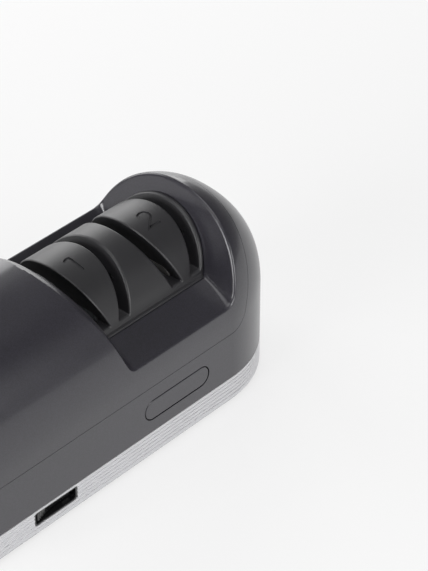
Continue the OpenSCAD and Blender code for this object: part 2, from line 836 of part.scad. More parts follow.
// A tube along x from x0 to x1 on the drive axis
module tube(r, bore, x0, x1) {
    difference() {
        axle(r, x0, x1);
        axle(bore, x0 - 1, x1 + 1);
    }
}

module motor_can() color("silver") seat() {
    difference() {
        axle(motor_r, motor_back, -motor_x);
        axle(motor_r - can_t, motor_back - 1, -motor_x - can_t);
        axle(boss_r, -motor_x - 5, -motor_x + 1);
        for (s = [-1, 1]) translate([0, s * motor_screw_pcd / 2, 0])
            axle(screw_r + 0.05, -motor_x - 5, -motor_x + 1);
        // cooling windows near the front
        vent = [5, 9, 6];
        for (a = [45 : 90 : 315]) translate([-motor_x - vent[2], 0, shaft_h]) rotate([a, 0, 0])
            translate([0, 0, motor_r]) cube(vent, center = true);
    }
}

module motor_end_cap() color("ivory") seat() {
    difference() {
        union() {
            axle(motor_r, motor_back - 2, motor_back);
            axle(motor_r - can_t - 0.1, motor_back, motor_back + 2);
            axle(10, motor_back - 7, motor_back - 2);
        }
        axle(5, motor_back - 8, motor_back + 3);
    }
}

module motor_magnets() color("darkslategray") seat() {
    gap_angle = 50;
    for (s = [0, 180]) translate([rotor_mid - magnet_l / 2, 0, shaft_h]) rotate([0, 90, 0])
        rotate(s + gap_angle / 2) rotate_extrude(angle = 180 - gap_angle, $fn = 64)
            translate([motor_r - can_t - magnet_t, 0]) square([magnet_t, magnet_l]);
}

module armature_core() color("slategray") seat() {
    difference() {
        axle(armature_r, rotor_mid - core_l / 2, rotor_mid + core_l / 2);
        axle(motor_shaft_r, motor_back, -motor_x);
        for (k = [0 : 11]) translate([0, 0, shaft_h]) rotate([k * 30, 0, 0]) {
            translate([rotor_mid, 0, armature_r - 4]) rotate([0, 90, 0])
                cylinder(r = 2.2, h = core_l + 2, center = true, $fn = 24);
            translate([rotor_mid, 0, armature_r - 1]) cube([core_l + 2, 1.4, 6], center = true);
        }
    }
}

module armature_windings() color("peru") seat() {
    for (s = [-1, 1]) translate([rotor_mid + s * (core_l / 2 + 2.5), 0, shaft_h])
        rotate([0, 90, 0]) rotate_extrude() translate([armature_r - 8, 0]) {
            circle(r = 2.5, $fn = 32);
            translate([-4, -2.5]) square([4, 5]);
        }
}

module commutator() color("peru") seat() {
    x1 = commutator_x1;
    difference() {
        tube(commutator_r, motor_shaft_r, x1 - commutator_l, x1);
        for (k = [0 : 11]) translate([x1 - commutator_l / 2 - 0.5, 0, shaft_h])
            rotate([k * 30 + 15, 0, 0]) translate([0, 0, commutator_r])
                cube([commutator_l, 0.5, 1.6], center = true);
    }
}

module motor_brushes() color("black") seat() {
    x = commutator_x1 - commutator_l / 2;
    for (s = [-1, 1]) translate([x, s * (commutator_r + 0.1 + 5), shaft_h])
        cube([4, 10, 5], center = true);
}

module motor_terminals() color("goldenrod") seat() {
    for (s = [-1, 1]) translate([motor_back - 8, s * 15 - 2.4, shaft_h + 4])
        cube([6, 4.8, 0.8]);
}

// An upright plate across the body with a foot, its near face at x
module bracket(x, thick, half_w, top, foot, bore) {
    difference() {
        union() {
            translate([x, 0, 0]) rotate([90, 0, 90]) linear_extrude(thick) {
                translate([-half_w, plate_top]) square([2 * half_w, top - 6 - plate_top]);
                translate([-half_w + 6, top - 7]) square([2 * half_w - 12, 7]);
                for (s = [-1, 1]) translate([s * (half_w - 6), top - 6]) circle(r = 6, $fn = 48);
            }
            translate([x + min(foot, 0), -half_w, plate_top])
                cube([abs(foot) + (foot > 0 ? 0 : thick), 2 * half_w, bracket_t]);
        }
        axle(bore, x - 1, x + thick + 1);
    }
}

module bracket_drill() {
    for (p = bracket_holes) translate([p[0], p[1], 0])
        cylinder(r = screw_r + 0.05, h = plate_top + bracket_t + 1, $fn = 24);
}

module motor_bracket() color("silver") seat() {
    difference() {
        bracket(-motor_x, bracket_t, motor_half_w, shaft_h + 22, foot_l, boss_r);
        bracket_drill();
        for (s = [-1, 1]) translate([0, s * motor_screw_pcd / 2, 0])
            axle(screw_r + 0.05, -motor_x - 5, -motor_x + 5);
    }
}

module motor_screws() color("silver") seat() {
    for (s = [-1, 1]) translate([-motor_x + bracket_t, s * motor_screw_pcd / 2, shaft_h])
        rotate([0, -90, 0]) screw(bracket_t + can_t);
}

module motor_shaft() color("silver") seat() {
    axle(motor_shaft_r, motor_back - 5, shaft_x0 - 1);
}

// ---- Wheels ------------------------------------------------------------------------

module shaft_coupling() color("silver") seat() {
    difference() {
        axle(8, coupling_x0, coupling_x0 + coupling_l);
        axle(motor_shaft_r, coupling_x0 - 1, shaft_x0 - 0.5);
        axle(shaft_r, shaft_x0 - 0.5, coupling_x0 + coupling_l + 1);
        // holes of the set screws
        for (x = [coupling_x0 + 5, coupling_x0 + coupling_l - 4])
            translate([x, 0, shaft_h]) cylinder(r = 1.6, h = 10, $fn = 24);
    }
}

module wheel_shaft() color("silver") seat() {
    axle(shaft_r, shaft_x0, shaft_x1);
    axle(spacer_r, shoulder_x0, stage_x - wheel_t / 2 - hub_t);
}

// A grinding wheel with softened edges
module grinding_wheel(x) {
    edge = 0.5;
    translate([x - wheel_t / 2, 0, shaft_h]) rotate([0, 90, 0])
        rotate_extrude($fn = 96) polygon([
            [shaft_r, 0], [wheel_r - edge, 0], [wheel_r, edge],
            [wheel_r, wheel_t - edge], [wheel_r - edge, wheel_t], [shaft_r, wheel_t]]);
}

module coarse_wheel() color("darkslategray") seat() grinding_wheel(stage_x);

module fine_wheel() color("lightgray") seat() grinding_wheel(fine_x);

module wheel_hubs() color("silver") seat() {
    for (x = [stage_x, fine_x], s = [-1, 1])
        tube(hub_r, shaft_r, x + s * (wheel_t + hub_t) / 2 - hub_t / 2,
            x + s * (wheel_t + hub_t) / 2 + hub_t / 2);
}

module shaft_spacer() color("silver") seat() {
    tube(spacer_r, shaft_r, stage_x + wheel_t / 2 + hub_t, fine_x - wheel_t / 2 - hub_t);
}

module shaft_nut() color("silver") seat() {
    x0 = fine_x + wheel_t / 2 + hub_t;
    difference() {
        translate([x0, 0, shaft_h]) rotate([0, 90, 0]) cylinder(r = 5.5, h = 4.5, $fn = 6);
        axle(shaft_r, x0 - 1, x0 + 6);
    }
}

module inner_bearing_wall() color("dimgray") seat() {
    difference() {
        bracket(inner_wall_x, support_t, min(inner_half_w, back_d - wall - 3), floor_h - 3,
            foot_l, bush_r);
        bracket_drill();
    }
}

module outer_bearing_bracket() color("dimgray") seat() {
    difference() {
        bracket(outer_x, support_t, outer_half_w, shaft_h + 10, -10, bush_r);
        bracket_drill();
    }
}

module shaft_bushes() color("peru") seat() {
    tube(boss_r, motor_shaft_r + run_clear, -motor_x - can_t - 2, -motor_x + bracket_t + 2);
    tube(5, motor_shaft_r + run_clear, motor_back - 6, motor_back + 1);
    tube(bush_r, shaft_r + run_clear, inner_wall_x - 1.5, inner_wall_x + support_t + 1.5);
    tube(bush_r, shaft_r + run_clear, outer_x - 1.5, outer_x + support_t + 1.5);
}

module bracket_screws() color("silver") seat() {
    for (p = bracket_holes) translate([p[0], p[1], plate_top + bracket_t])
        rotate([180, 0, 0]) screw(bracket_t + plate_t - 0.2);
}

// ---- Electrics ---------------------------------------------------------------------

module rectifier_board() color("seagreen") seat() {
    difference() {
        translate([board_x - board_l / 2, -board_w / 2, board_z]) cube([board_l, board_w, board_t]);
        for (p = board_posts) translate([p[0], p[1], board_z - 1]) cylinder(r = 1.2, h = 4, $fn = 24);
    }
}

module board_parts() color("royalblue") seat() {
    z = board_z + board_t;
    left = board_x - 14;
    right = board_x + 2;
    row = 8;                      // distance of the parts' rows from the board's middle line
    bridge = [13, 4, 5.5];
    film = [12, 6, part_h];
    translate([left, -row, z]) cube(bridge);
    translate([left, row - film[1] + 2, z]) cube(film);
    // smoothing capacitor and fuse, lying down, as [row, radius, length]
    for (p = [[row, 3.2, 13], [-row, 2.2, 14]])
        translate([right, p[0], z + p[1]]) rotate([0, 90, 0]) cylinder(r = p[1], h = p[2]);
}

module cord_grommet() color("black") seat() {
    sleeve = inlet_r + 2.4;
    collar = 2;
    inside = back_d - wall - tongue_t;    // the back wall's inner face
    translate([-inlet_x, 0, inlet_z]) rotate([-90, 0, 0]) difference() {
        union() {
            translate([0, 0, inside]) cylinder(r = sleeve, h = back_d - 0.2 - inside);
            translate([0, 0, inside - collar]) cylinder(r = sleeve + collar, h = collar);
        }
        cylinder(r = inlet_r, h = back_d + 1);
    }
}

upper_housing();
lower_front();
lower_back();
lower_left_end();
lower_right_end();
trim_band();
base_plate();
rubber_feet();
base_screws();
slot_guide();
guide_blocks();
blade_guides();
badge_plate();
switch_bezel();
switch_body();
switch_terminals();
switch_rocker();
motor_can();
motor_end_cap();
motor_magnets();
motor_brushes();
motor_terminals();
motor_bracket();
motor_screws();
armature_core();
armature_windings();
commutator();
motor_shaft();
shaft_coupling();
wheel_shaft();
coarse_wheel();
fine_wheel();
wheel_hubs();
shaft_spacer();
shaft_nut();
inner_bearing_wall();
outer_bearing_bracket();
shaft_bushes();
bracket_screws();
rectifier_board();
board_parts();
cord_grommet();
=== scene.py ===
"""Dresses the electric knife sharpener.

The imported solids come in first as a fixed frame. The moulded pieces are then cast again from the
same sizes with rounded edges, the repeats are made with Geometry Nodes, and every piece gets its
finish. Sizes are millimetres in the sub-assemblies and metres in the meshes and the lamps.
"""
import logging
import math
from dataclasses import dataclass
from enum import Enum
from typing import Callable, Sequence

import bmesh
import bpy
import numpy as np
from mathutils import Matrix, Vector


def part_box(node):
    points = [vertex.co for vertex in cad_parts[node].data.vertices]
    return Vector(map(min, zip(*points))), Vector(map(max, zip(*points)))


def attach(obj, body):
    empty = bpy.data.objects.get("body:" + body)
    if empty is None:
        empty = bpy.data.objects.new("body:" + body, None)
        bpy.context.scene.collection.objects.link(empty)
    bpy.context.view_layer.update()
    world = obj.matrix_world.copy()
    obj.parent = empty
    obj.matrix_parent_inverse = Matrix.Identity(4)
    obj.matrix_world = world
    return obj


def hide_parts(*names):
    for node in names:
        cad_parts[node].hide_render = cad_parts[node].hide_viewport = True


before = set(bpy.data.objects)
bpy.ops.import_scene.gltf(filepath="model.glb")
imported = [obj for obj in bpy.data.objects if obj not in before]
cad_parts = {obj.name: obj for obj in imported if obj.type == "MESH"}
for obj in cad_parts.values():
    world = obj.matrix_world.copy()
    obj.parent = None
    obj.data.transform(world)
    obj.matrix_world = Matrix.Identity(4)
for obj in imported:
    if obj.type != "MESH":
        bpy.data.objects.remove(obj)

LOG = logging.getLogger("sharpener")
MM = 0.001
TINY = 1e-9
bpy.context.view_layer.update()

Array = np.ndarray
Field = Callable[[Array, Array, Array], Array]
Spots = Sequence[tuple[Sequence[float], Sequence[float]]]


# ---- Shader and geometry nodes -------------------------------------------------------------


class Wire:
    """A node's output socket that can be written into an expression."""

    def __init__(self, net: "Net", socket: bpy.types.NodeSocket) -> None:
        """Wraps a socket of a node tree."""
        self.net = net
        self.socket = socket

    def _math(self, operation: str, *values: "Wire | float") -> "Wire":
        """Adds a Math node.

        Args:
            operation: the node's operation.
            values: its inputs in order.

        Returns:
            The node's result.
        """
        return self.net.node("ShaderNodeMath", {"operation": operation}, dict(enumerate(values)))

    def __add__(self, other: "Wire | float") -> "Wire":
        """Sum."""
        return self._math("ADD", self, other)

    __radd__ = __add__

    def __sub__(self, other: "Wire | float") -> "Wire":
        """Difference."""
        return self._math("SUBTRACT", self, other)

    def __rsub__(self, other: float) -> "Wire":
        """Difference from a number."""
        return self._math("SUBTRACT", other, self)

    def __mul__(self, other: "Wire | float") -> "Wire":
        """Product."""
        return self._math("MULTIPLY", self, other)

    __rmul__ = __mul__

    def __truediv__(self, other: "Wire | float") -> "Wire":
        """Quotient."""
        return self._math("DIVIDE", self, other)

    def __rtruediv__(self, other: float) -> "Wire":
        """Quotient of a number."""
        return self._math("DIVIDE", other, self)

    def __pow__(self, other: "Wire | float") -> "Wire":
        """Power."""
        return self._math("POWER", self, other)

    def __abs__(self) -> "Wire":
        """Absolute value."""
        return self._math("ABSOLUTE", self)

    def sine(self) -> "Wire":
        """Sine of the value in radians."""
        return self._math("SINE", self)

    def above(self, limit: "Wire | float") -> "Wire":
        """One where the value is over a limit."""
        return self._math("GREATER_THAN", self, limit)

    def least(self, limit: "Wire | float") -> "Wire":
        """The smaller of the value and a limit."""
        return self._math("MINIMUM", self, limit)

    def ramp(self, low: float, high: float) -> "Wire":
        """Ramps the value.

        Args:
            low: where the ramp leaves 0.
            high: where it reaches 1.

        Returns:
            The ramp, which stays between 0 and 1.
        """
        return self.net.node(
            "ShaderNodeMapRange", {"clamp": True}, {"Value": self, "From Min": low, "From Max": high}
        )


class Net:
    """A node tree that is built in Python."""

    def __init__(self, tree: bpy.types.NodeTree) -> None:
        """Wraps a node tree."""
        self.tree = tree

    def node(
        self,
        kind: str,
        settings: dict[str, object] | None = None,
        inputs: dict[str | int, object] | None = None,
        output: str | int = 0,
    ) -> Wire:
        """Adds a node.

        Args:
            kind: the node's type.
            settings: properties that are set before the inputs.
            inputs: values or wires by the socket's name or place.
            output: the output that is returned.

        Returns:
            A wire from that output.
        """
        made = self.tree.nodes.new(kind)
        for key, value in (settings or {}).items():
            setattr(made, key, value)
        for key, value in (inputs or {}).items():
            socket = made.inputs[key]
            if isinstance(value, Wire):
                self.tree.links.new(value.socket, socket)
            else:
                socket.default_value = value
        return Wire(self, made.outputs[output] if len(made.outputs) else made.inputs[0])

    def place(self) -> Wire:
        """Object coordinates."""
        return self.node("ShaderNodeTexCoord", output="Object")

    def parts(self, vector: Wire) -> tuple[Wire, Wire, Wire]:
        """Splits a vector.

        Args:
            vector: the vector or colour.

        Returns:
            Its x, y and z.
        """
        split = self.node("ShaderNodeSeparateXYZ", inputs={0: vector})
        outputs = split.socket.node.outputs
        return tuple(Wire(self, outputs[k]) for k in range(3))

    def noise(self, size: float, detail: float = 2.0, stretch: tuple[float, ...] = (1, 1, 1)) -> Wire:
        """Noise of a given grain size.

        Args:
            size: grain size in millimetres.
            detail: octaves.
            stretch: scale along each axis.

        Returns:
            The noise, about 0.5 on average.
        """
        vector = self.node(
            "ShaderNodeMapping", {"vector_type": "POINT"}, {"Vector": self.place(), "Scale": stretch}
        )
        return self.node(
            "ShaderNodeTexNoise", inputs={"Vector": vector, "Scale": 1 / (size * MM), "Detail": detail}
        )

    def cells(self, size: float) -> Wire:
        """Cells of random greys.

        Args:
            size: cell size in millimetres.

        Returns:
            The grey, from 0 to 1.
        """
        colour = self.node(
            "ShaderNodeTexVoronoi",
            inputs={"Vector": self.place(), "Scale": 1 / (size * MM)},
            output="Color",
        )
        return self.parts(colour)[0]

    def mix(self, factor: Wire, first: Sequence[float], second: Sequence[float]) -> Wire:
        """Mixes two colours.

        Args:
            factor: 0 for the first and 1 for the second.
            first: colour at 0.
            second: colour at 1.

        Returns:
            The mixed colour.
        """
        return self.node(
            "ShaderNodeMix",
            {"data_type": "RGBA"},
            {0: factor, 6: (*first, 1.0), 7: (*second, 1.0)},
            output=2,
        )

    def bump(self, height: Wire, depth: float) -> Wire:
        """A bump.

        Args:
            height: height from 0 to 1.
            depth: what a height of 1 stands for, in millimetres.

        Returns:
            The normal.
        """
        return self.node(
            "ShaderNodeBump", inputs={"Strength": 1.0, "Distance": depth * MM, "Height": height}
        )


class Recipe:
    """A Geometry Nodes tree with named inputs that turns a plain mesh into a finished piece."""

    def __init__(self, name: str) -> None:
        """Starts the tree with its geometry and its finish.

        Args:
            name: the tree's name.
        """
        self.tree = bpy.data.node_groups.new(name, "GeometryNodeTree")
        self.net = Net(self.tree)
        self.keys: dict[str, str] = {}
        self.tree.interface.new_socket("Geometry", in_out="OUTPUT", socket_type="NodeSocketGeometry")
        self.inward = self.tree.nodes.new("NodeGroupInput")
        self.geometry = self.value("Geometry", "NodeSocketGeometry")
        self.finish = self.value("Finish", "NodeSocketMaterial")

    def value(self, name: str, kind: str) -> Wire:
        """Adds a named input.

        Args:
            name: the input's name.
            kind: the socket's type.

        Returns:
            A wire from it.
        """
        socket = self.tree.interface.new_socket(name, in_out="INPUT", socket_type=kind)
        self.keys[name] = socket.identifier
        return Wire(self.net, self.inward.outputs[name])

    def close(self, geometry: Wire) -> None:
        """Ends the tree in plain meshes that carry the finish.

        Args:
            geometry: what the tree has made.
        """
        whole = self.net.node("GeometryNodeRealizeInstances", inputs={"Geometry": geometry})
        dressed = self.net.node(
            "GeometryNodeSetMaterial", inputs={"Geometry": whole, "Material": self.finish}
        )
        self.net.node("NodeGroupOutput", inputs={0: dressed})

    def cook(self, piece: bpy.types.Object, finish: "Finish", values: dict[str, object]) -> None:
        """Runs the tree on a piece and keeps the result as a plain mesh.

        Args:
            piece: the object whose mesh the tree starts from.
            finish: the finish of the result.
            values: the named inputs.
        """
        modifier = piece.modifiers.new("recipe", "NODES")
        modifier.node_group = self.tree
        for name, value in {**values, "Finish": finish.build()}.items():
            modifier[self.keys[name]] = value
        freeze(piece)


class Scatter(Recipe):
    """Puts one thing on every point, turned as the point says and spun at random about itself."""

    def __init__(self) -> None:
        """Builds the tree."""
        super().__init__("scatter")
        net = self.net
        thing = self.value("Thing", "NodeSocketObject")
        spin = self.value("Spin", "NodeSocketFloat")
        seed = self.value("Seed", "NodeSocketInt")
        shape = net.node("GeometryNodeObjectInfo", inputs={"Object": thing}, output="Geometry")
        kind = {"data_type": "FLOAT_VECTOR"}
        turn = net.node("GeometryNodeInputNamedAttribute", kind, {"Name": "turn"})
        spread = net.node(
            "GeometryNodeInstanceOnPoints",
            inputs={
                "Points": self.geometry,
                "Instance": shape,
                "Rotation": net.node("FunctionNodeEulerToRotation", inputs={0: turn}),
            },
        )
        most = net.node("ShaderNodeCombineXYZ", inputs={"Z": spin})
        chance = net.node("FunctionNodeRandomValue", kind, {0: (0, 0, 0), 1: most, "Seed": seed})
        spun = net.node(
            "GeometryNodeRotateInstances",
            inputs={
                "Instances": spread,
                "Rotation": net.node("FunctionNodeEulerToRotation", inputs={0: chance}),
                "Local Space": True,
            },
        )
        self.close(spun)


class RibbedSweep(Recipe):
    """Sweeps a wall with rounded ribs along a closed outline that runs anticlockwise from above."""

    def __init__(self) -> None:
        """Builds the tree."""
        super().__init__("ribbed_sweep")
        net = self.net
        ribs = self.value("Ribs", "NodeSocketFloat")
        depth = self.value("Rib Depth", "NodeSocketFloat")
        wall = self.value("Wall", "NodeSocketFloat")
        low = self.value("Low", "NodeSocketFloat")
        high = self.value("High", "NodeSocketFloat")
        points = self.value("Points", "NodeSocketInt")
        line = net.node("GeometryNodeMeshLine", inputs={"Count": points})
        index = net.node("GeometryNodeInputIndex")
        # All points but the last two climb the ribbed face. The first and last half rib stay full.
        rise = (index / (points - 3)).least(1.0)
        bead = abs((rise * ribs * math.pi).sine()) ** 0.5
        edge = abs(rise - 0.5).above(0.5 - 0.5 / ribs)
        wave = bead + edge * (1 - bead)
        # The last two go down the wall's inner face.
        inner = index.above(points - 2.5)
        last = index.above(points - 1.5)
        across = (wave - 1) * depth * (1 - inner) - wall * inner
        spot = net.node(
            "ShaderNodeCombineXYZ", inputs={"X": across, "Y": (low - high) * rise * (1 - last) - low}
        )
        placed = net.node("GeometryNodeSetPosition", inputs={"Geometry": line, "Position": spot})
        profile = net.node("GeometryNodeMeshToCurve", inputs={"Mesh": placed})
        closed = net.node("GeometryNodeSetSplineCyclic", inputs={"Geometry": profile, "Cyclic": True})
        path = net.node("GeometryNodeMeshToCurve", inputs={"Mesh": self.geometry})
        upright = net.node("GeometryNodeSetCurveNormal", {"mode": "Z_UP"}, {"Curve": path})
        swept = net.node(
            "GeometryNodeCurveToMesh", inputs={"Curve": upright, "Profile Curve": closed}
        )
        self.close(net.node("GeometryNodeFlipFaces", inputs={"Mesh": swept}))


class Grain(Enum):
    """What a finish's fine structure looks like."""

    FLECK = "metallic fleck"
    SPARK = "spark-eroded plastic"
    BRUSHED = "brushed lengthways"
    TURNED = "turned on a lathe"
    GRIT = "bonded grit"


# How far roughness swings over a surface of each grain
SWING = {
    Grain.FLECK: 0.06,
    Grain.SPARK: 0.08,
    Grain.BRUSHED: 0.12,
    Grain.TURNED: 0.12,
    Grain.GRIT: 0.2,
}
# Size in millimetres of the slow change over a surface
CLOUD = 18.0
# Share of a fleck's own grey in the tone, and size of its bump beside its cell
FLECK_SHARE, FLECK_SPREAD = 0.75, 1.6


@dataclass(frozen=True)
class Finish:
    """A surface finish, as a procedural material. Grain size and depth are in millimetres."""

    name: str
    colour: tuple[float, float, float]
    grain: Grain
    grain_size: float
    depth: float
    vary: float
    rough: float
    metal: float = 0.0
    coat: float = 0.0
    coat_rough: float = 0.1
    specular: float = 0.5
    axis: tuple[float, float, float] = (1.0, 1.0, 1.0)

    def build(self) -> bpy.types.Material:
        """Builds the material.

        Returns:
            The material, made once for each finish.
        """
        known = bpy.data.materials.get(self.name)
        if known is not None:
            return known
        material = bpy.data.materials.new(self.name)
        material.use_nodes = True
        material.diffuse_color = (*self.colour, 1.0)
        net = Net(material.node_tree)
        shader = material.node_tree.nodes["Principled BSDF"]
        shader.inputs["Metallic"].default_value = self.metal
        shader.inputs["Coat Weight"].default_value = self.coat
        shader.inputs["Coat Roughness"].default_value = self.coat_rough
        shader.inputs["Specular IOR Level"].default_value = self.specular
        tone, rough, height = self._structure(net)
        dark = tuple(c * (1 - self.vary) for c in self.colour)
        light = tuple(min(1.0, c * (1 + self.vary)) for c in self.colour)
        links = material.node_tree.links
        links.new(net.mix(tone, dark, light).socket, shader.inputs["Base Color"])
        links.new(rough.socket, shader.inputs["Roughness"])
        links.new(net.bump(height, self.depth).socket, shader.inputs["Normal"])
        return material

    def _structure(self, net: Net) -> tuple[Wire, Wire, Wire]:
        """Tone, roughness and height of the fine structure.

        Args:
            net: the material's nodes.

        Returns:
            Tone from 0 to 1, roughness and height.
        """
        swing = SWING[self.grain]
        if self.grain is Grain.FLECK:
            cloud = net.noise(CLOUD)
            tone = net.cells(self.grain_size) * FLECK_SHARE + cloud * (1 - FLECK_SHARE)
            fine = net.noise(self.grain_size * FLECK_SPREAD, detail=1.0)
            return tone, self.rough + (cloud - 0.5) * swing, fine
        if self.grain is Grain.SPARK:
            cloud, fine = net.noise(CLOUD), net.noise(self.grain_size)
            return cloud * 0.5 + fine * 0.5, self.rough + (cloud - 0.5) * swing, fine
        if self.grain is Grain.GRIT:
            fine = net.cells(self.grain_size)
        else:
            fine = net.noise(self.grain_size, stretch=self.axis)
        return fine, self.rough + (fine - 0.5) * swing, fine

    def on(self, piece: bpy.types.Object) -> None:
        """Puts the finish on a piece, in place of what it has."""
        piece.data.materials.clear()
        piece.data.materials.append(self.build())


HOUSING = Finish(
    "anthracite_fleck", (0.0220, 0.0202, 0.0290), rough=0.34, metal=0.05, coat=0.4, coat_rough=0.12,
    specular=0.8, grain=Grain.FLECK, grain_size=0.28, depth=0.004, vary=0.45,
)
GUIDE = Finish(
    "guide_plastic", (0.017, 0.0165, 0.019), rough=0.44, coat=0.15, coat_rough=0.3, specular=0.7,
    grain=Grain.SPARK, grain_size=0.35, depth=0.006, vary=0.12,
)
BAND = Finish(
    "band_silver", (0.70, 0.70, 0.72), rough=0.34, metal=0.35, coat=0.2, coat_rough=0.15,
    grain=Grain.FLECK, grain_size=0.15, depth=0.002, vary=0.05,
)
BLACK = Finish(
    "black_plastic", (0.012, 0.012, 0.013), rough=0.38,
    grain=Grain.SPARK, grain_size=0.4, depth=0.008, vary=0.2,
)
GLOSS = Finish(
    "glossy_black", (0.010, 0.010, 0.011), rough=0.16, coat=0.5, coat_rough=0.06,
    grain=Grain.SPARK, grain_size=0.8, depth=0.002, vary=0.15,
)
RUBBER = Finish(
    "foot_rubber", (0.018, 0.018, 0.018), rough=0.75,
    grain=Grain.SPARK, grain_size=0.8, depth=0.03, vary=0.25,
)
SHEET = Finish(
    "spring_steel", (0.60, 0.60, 0.61), rough=0.24, metal=1.0,
    grain=Grain.BRUSHED, grain_size=0.5, depth=0.004, vary=0.1, axis=(1.0, 0.06, 1.0),
)
ZINC = Finish(
    "zinc_plate", (0.56, 0.57, 0.58), rough=0.34, metal=1.0,
    grain=Grain.SPARK, grain_size=1.2, depth=0.006, vary=0.12,
)
GROUND = Finish(
    "ground_steel", (0.62, 0.62, 0.63), rough=0.2, metal=1.0,
    grain=Grain.TURNED, grain_size=0.4, depth=0.003, vary=0.08, axis=(4.0, 1.0, 1.0),
)
CORE = Finish(
    "core_sheets", (0.20, 0.20, 0.22), rough=0.5, metal=0.9,
    grain=Grain.TURNED, grain_size=0.5, depth=0.02, vary=0.25, axis=(4.0, 0.2, 0.2),
)
FERRITE = Finish(
    "magnet_ferrite", (0.06, 0.06, 0.06), rough=0.6,
    grain=Grain.GRIT, grain_size=0.3, depth=0.01, vary=0.2,
)
COPPER = Finish(
    "enamelled_copper", (0.55, 0.22, 0.08), rough=0.3, metal=0.9,
    grain=Grain.TURNED, grain_size=0.6, depth=0.05, vary=0.2, axis=(3.0, 1.0, 1.0),
)
BRASS = Finish(
    "bright_brass", (0.70, 0.50, 0.18), rough=0.26, metal=1.0,
    grain=Grain.BRUSHED, grain_size=0.5, depth=0.004, vary=0.1, axis=(1.0, 0.1, 1.0),
)
BRONZE = Finish(
    "sintered_bronze", (0.42, 0.26, 0.12), rough=0.5, metal=0.9,
    grain=Grain.GRIT, grain_size=0.25, depth=0.01, vary=0.2,
)
CARBON = Finish(
    "pressed_carbon", (0.03, 0.03, 0.03), rough=0.6,
    grain=Grain.GRIT, grain_size=0.3, depth=0.01, vary=0.25,
)
IVORY = Finish(
    "ivory_plastic", (0.62, 0.58, 0.46), rough=0.45,
    grain=Grain.SPARK, grain_size=0.6, depth=0.01, vary=0.05,
)
GREY = Finish(
    "grey_plastic", (0.14, 0.14, 0.145), rough=0.5,
    grain=Grain.SPARK, grain_size=0.5, depth=0.012, vary=0.1,
)
ALLOY = Finish(
    "turned_alloy", (0.66, 0.66, 0.68), rough=0.3, metal=1.0,
    grain=Grain.TURNED, grain_size=0.4, depth=0.004, vary=0.1, axis=(4.0, 0.5, 0.5),
)
COARSE = Finish(
    "coarse_grit", (0.17, 0.18, 0.20), rough=0.6, metal=0.35,
    grain=Grain.GRIT, grain_size=0.35, depth=0.06, vary=0.55,
)
FINE = Finish(
    "fine_ceramic", (0.66, 0.64, 0.58), rough=0.62,
    grain=Grain.GRIT, grain_size=0.22, depth=0.02, vary=0.1,
)
BOARD = Finish(
    "green_laminate", (0.02, 0.12, 0.05), rough=0.35, coat=0.3,
    grain=Grain.BRUSHED, grain_size=0.8, depth=0.008, vary=0.2, axis=(1.0, 0.2, 1.0),
)
PARTS = Finish(
    "moulded_blue", (0.03, 0.06, 0.22), rough=0.35,
    grain=Grain.SPARK, grain_size=0.6, depth=0.008, vary=0.1,
)


# ---- Rounded meetings of surfaces ------------------------------------------------------------


def meet(a: Array, b: Array, r: Array | float, cosine: float = 0.0) -> Array:
    """Distance to the meeting of two half-spaces with a rounded outer edge.

    Args:
        a: distance to the first, negative inside.
        b: distance to the second.
        r: radius of the edge.
        cosine: cosine of the angle between their normals.

    Returns:
        The distance, negative inside both.
    """
    p, q = a + r, b + r
    s = 1 - cosine * cosine
    corner = (p > cosine * q) & (q > cosine * p)
    round_off = np.sqrt(np.maximum(p * p + q * q - 2 * cosine * p * q, 0) / s)
    return np.where(corner, round_off, np.maximum(p, q)) - r


def join(a: Array, b: Array, r: Array | float) -> Array:
    """Distance to two solids joined with a fillet of radius r."""
    return -meet(-a, -b, r)


def ease(t: Array) -> Array:
    """Smooth step from 0 to 1."""
    t = np.clip(t, 0, 1)
    return t * t * (3 - 2 * t)


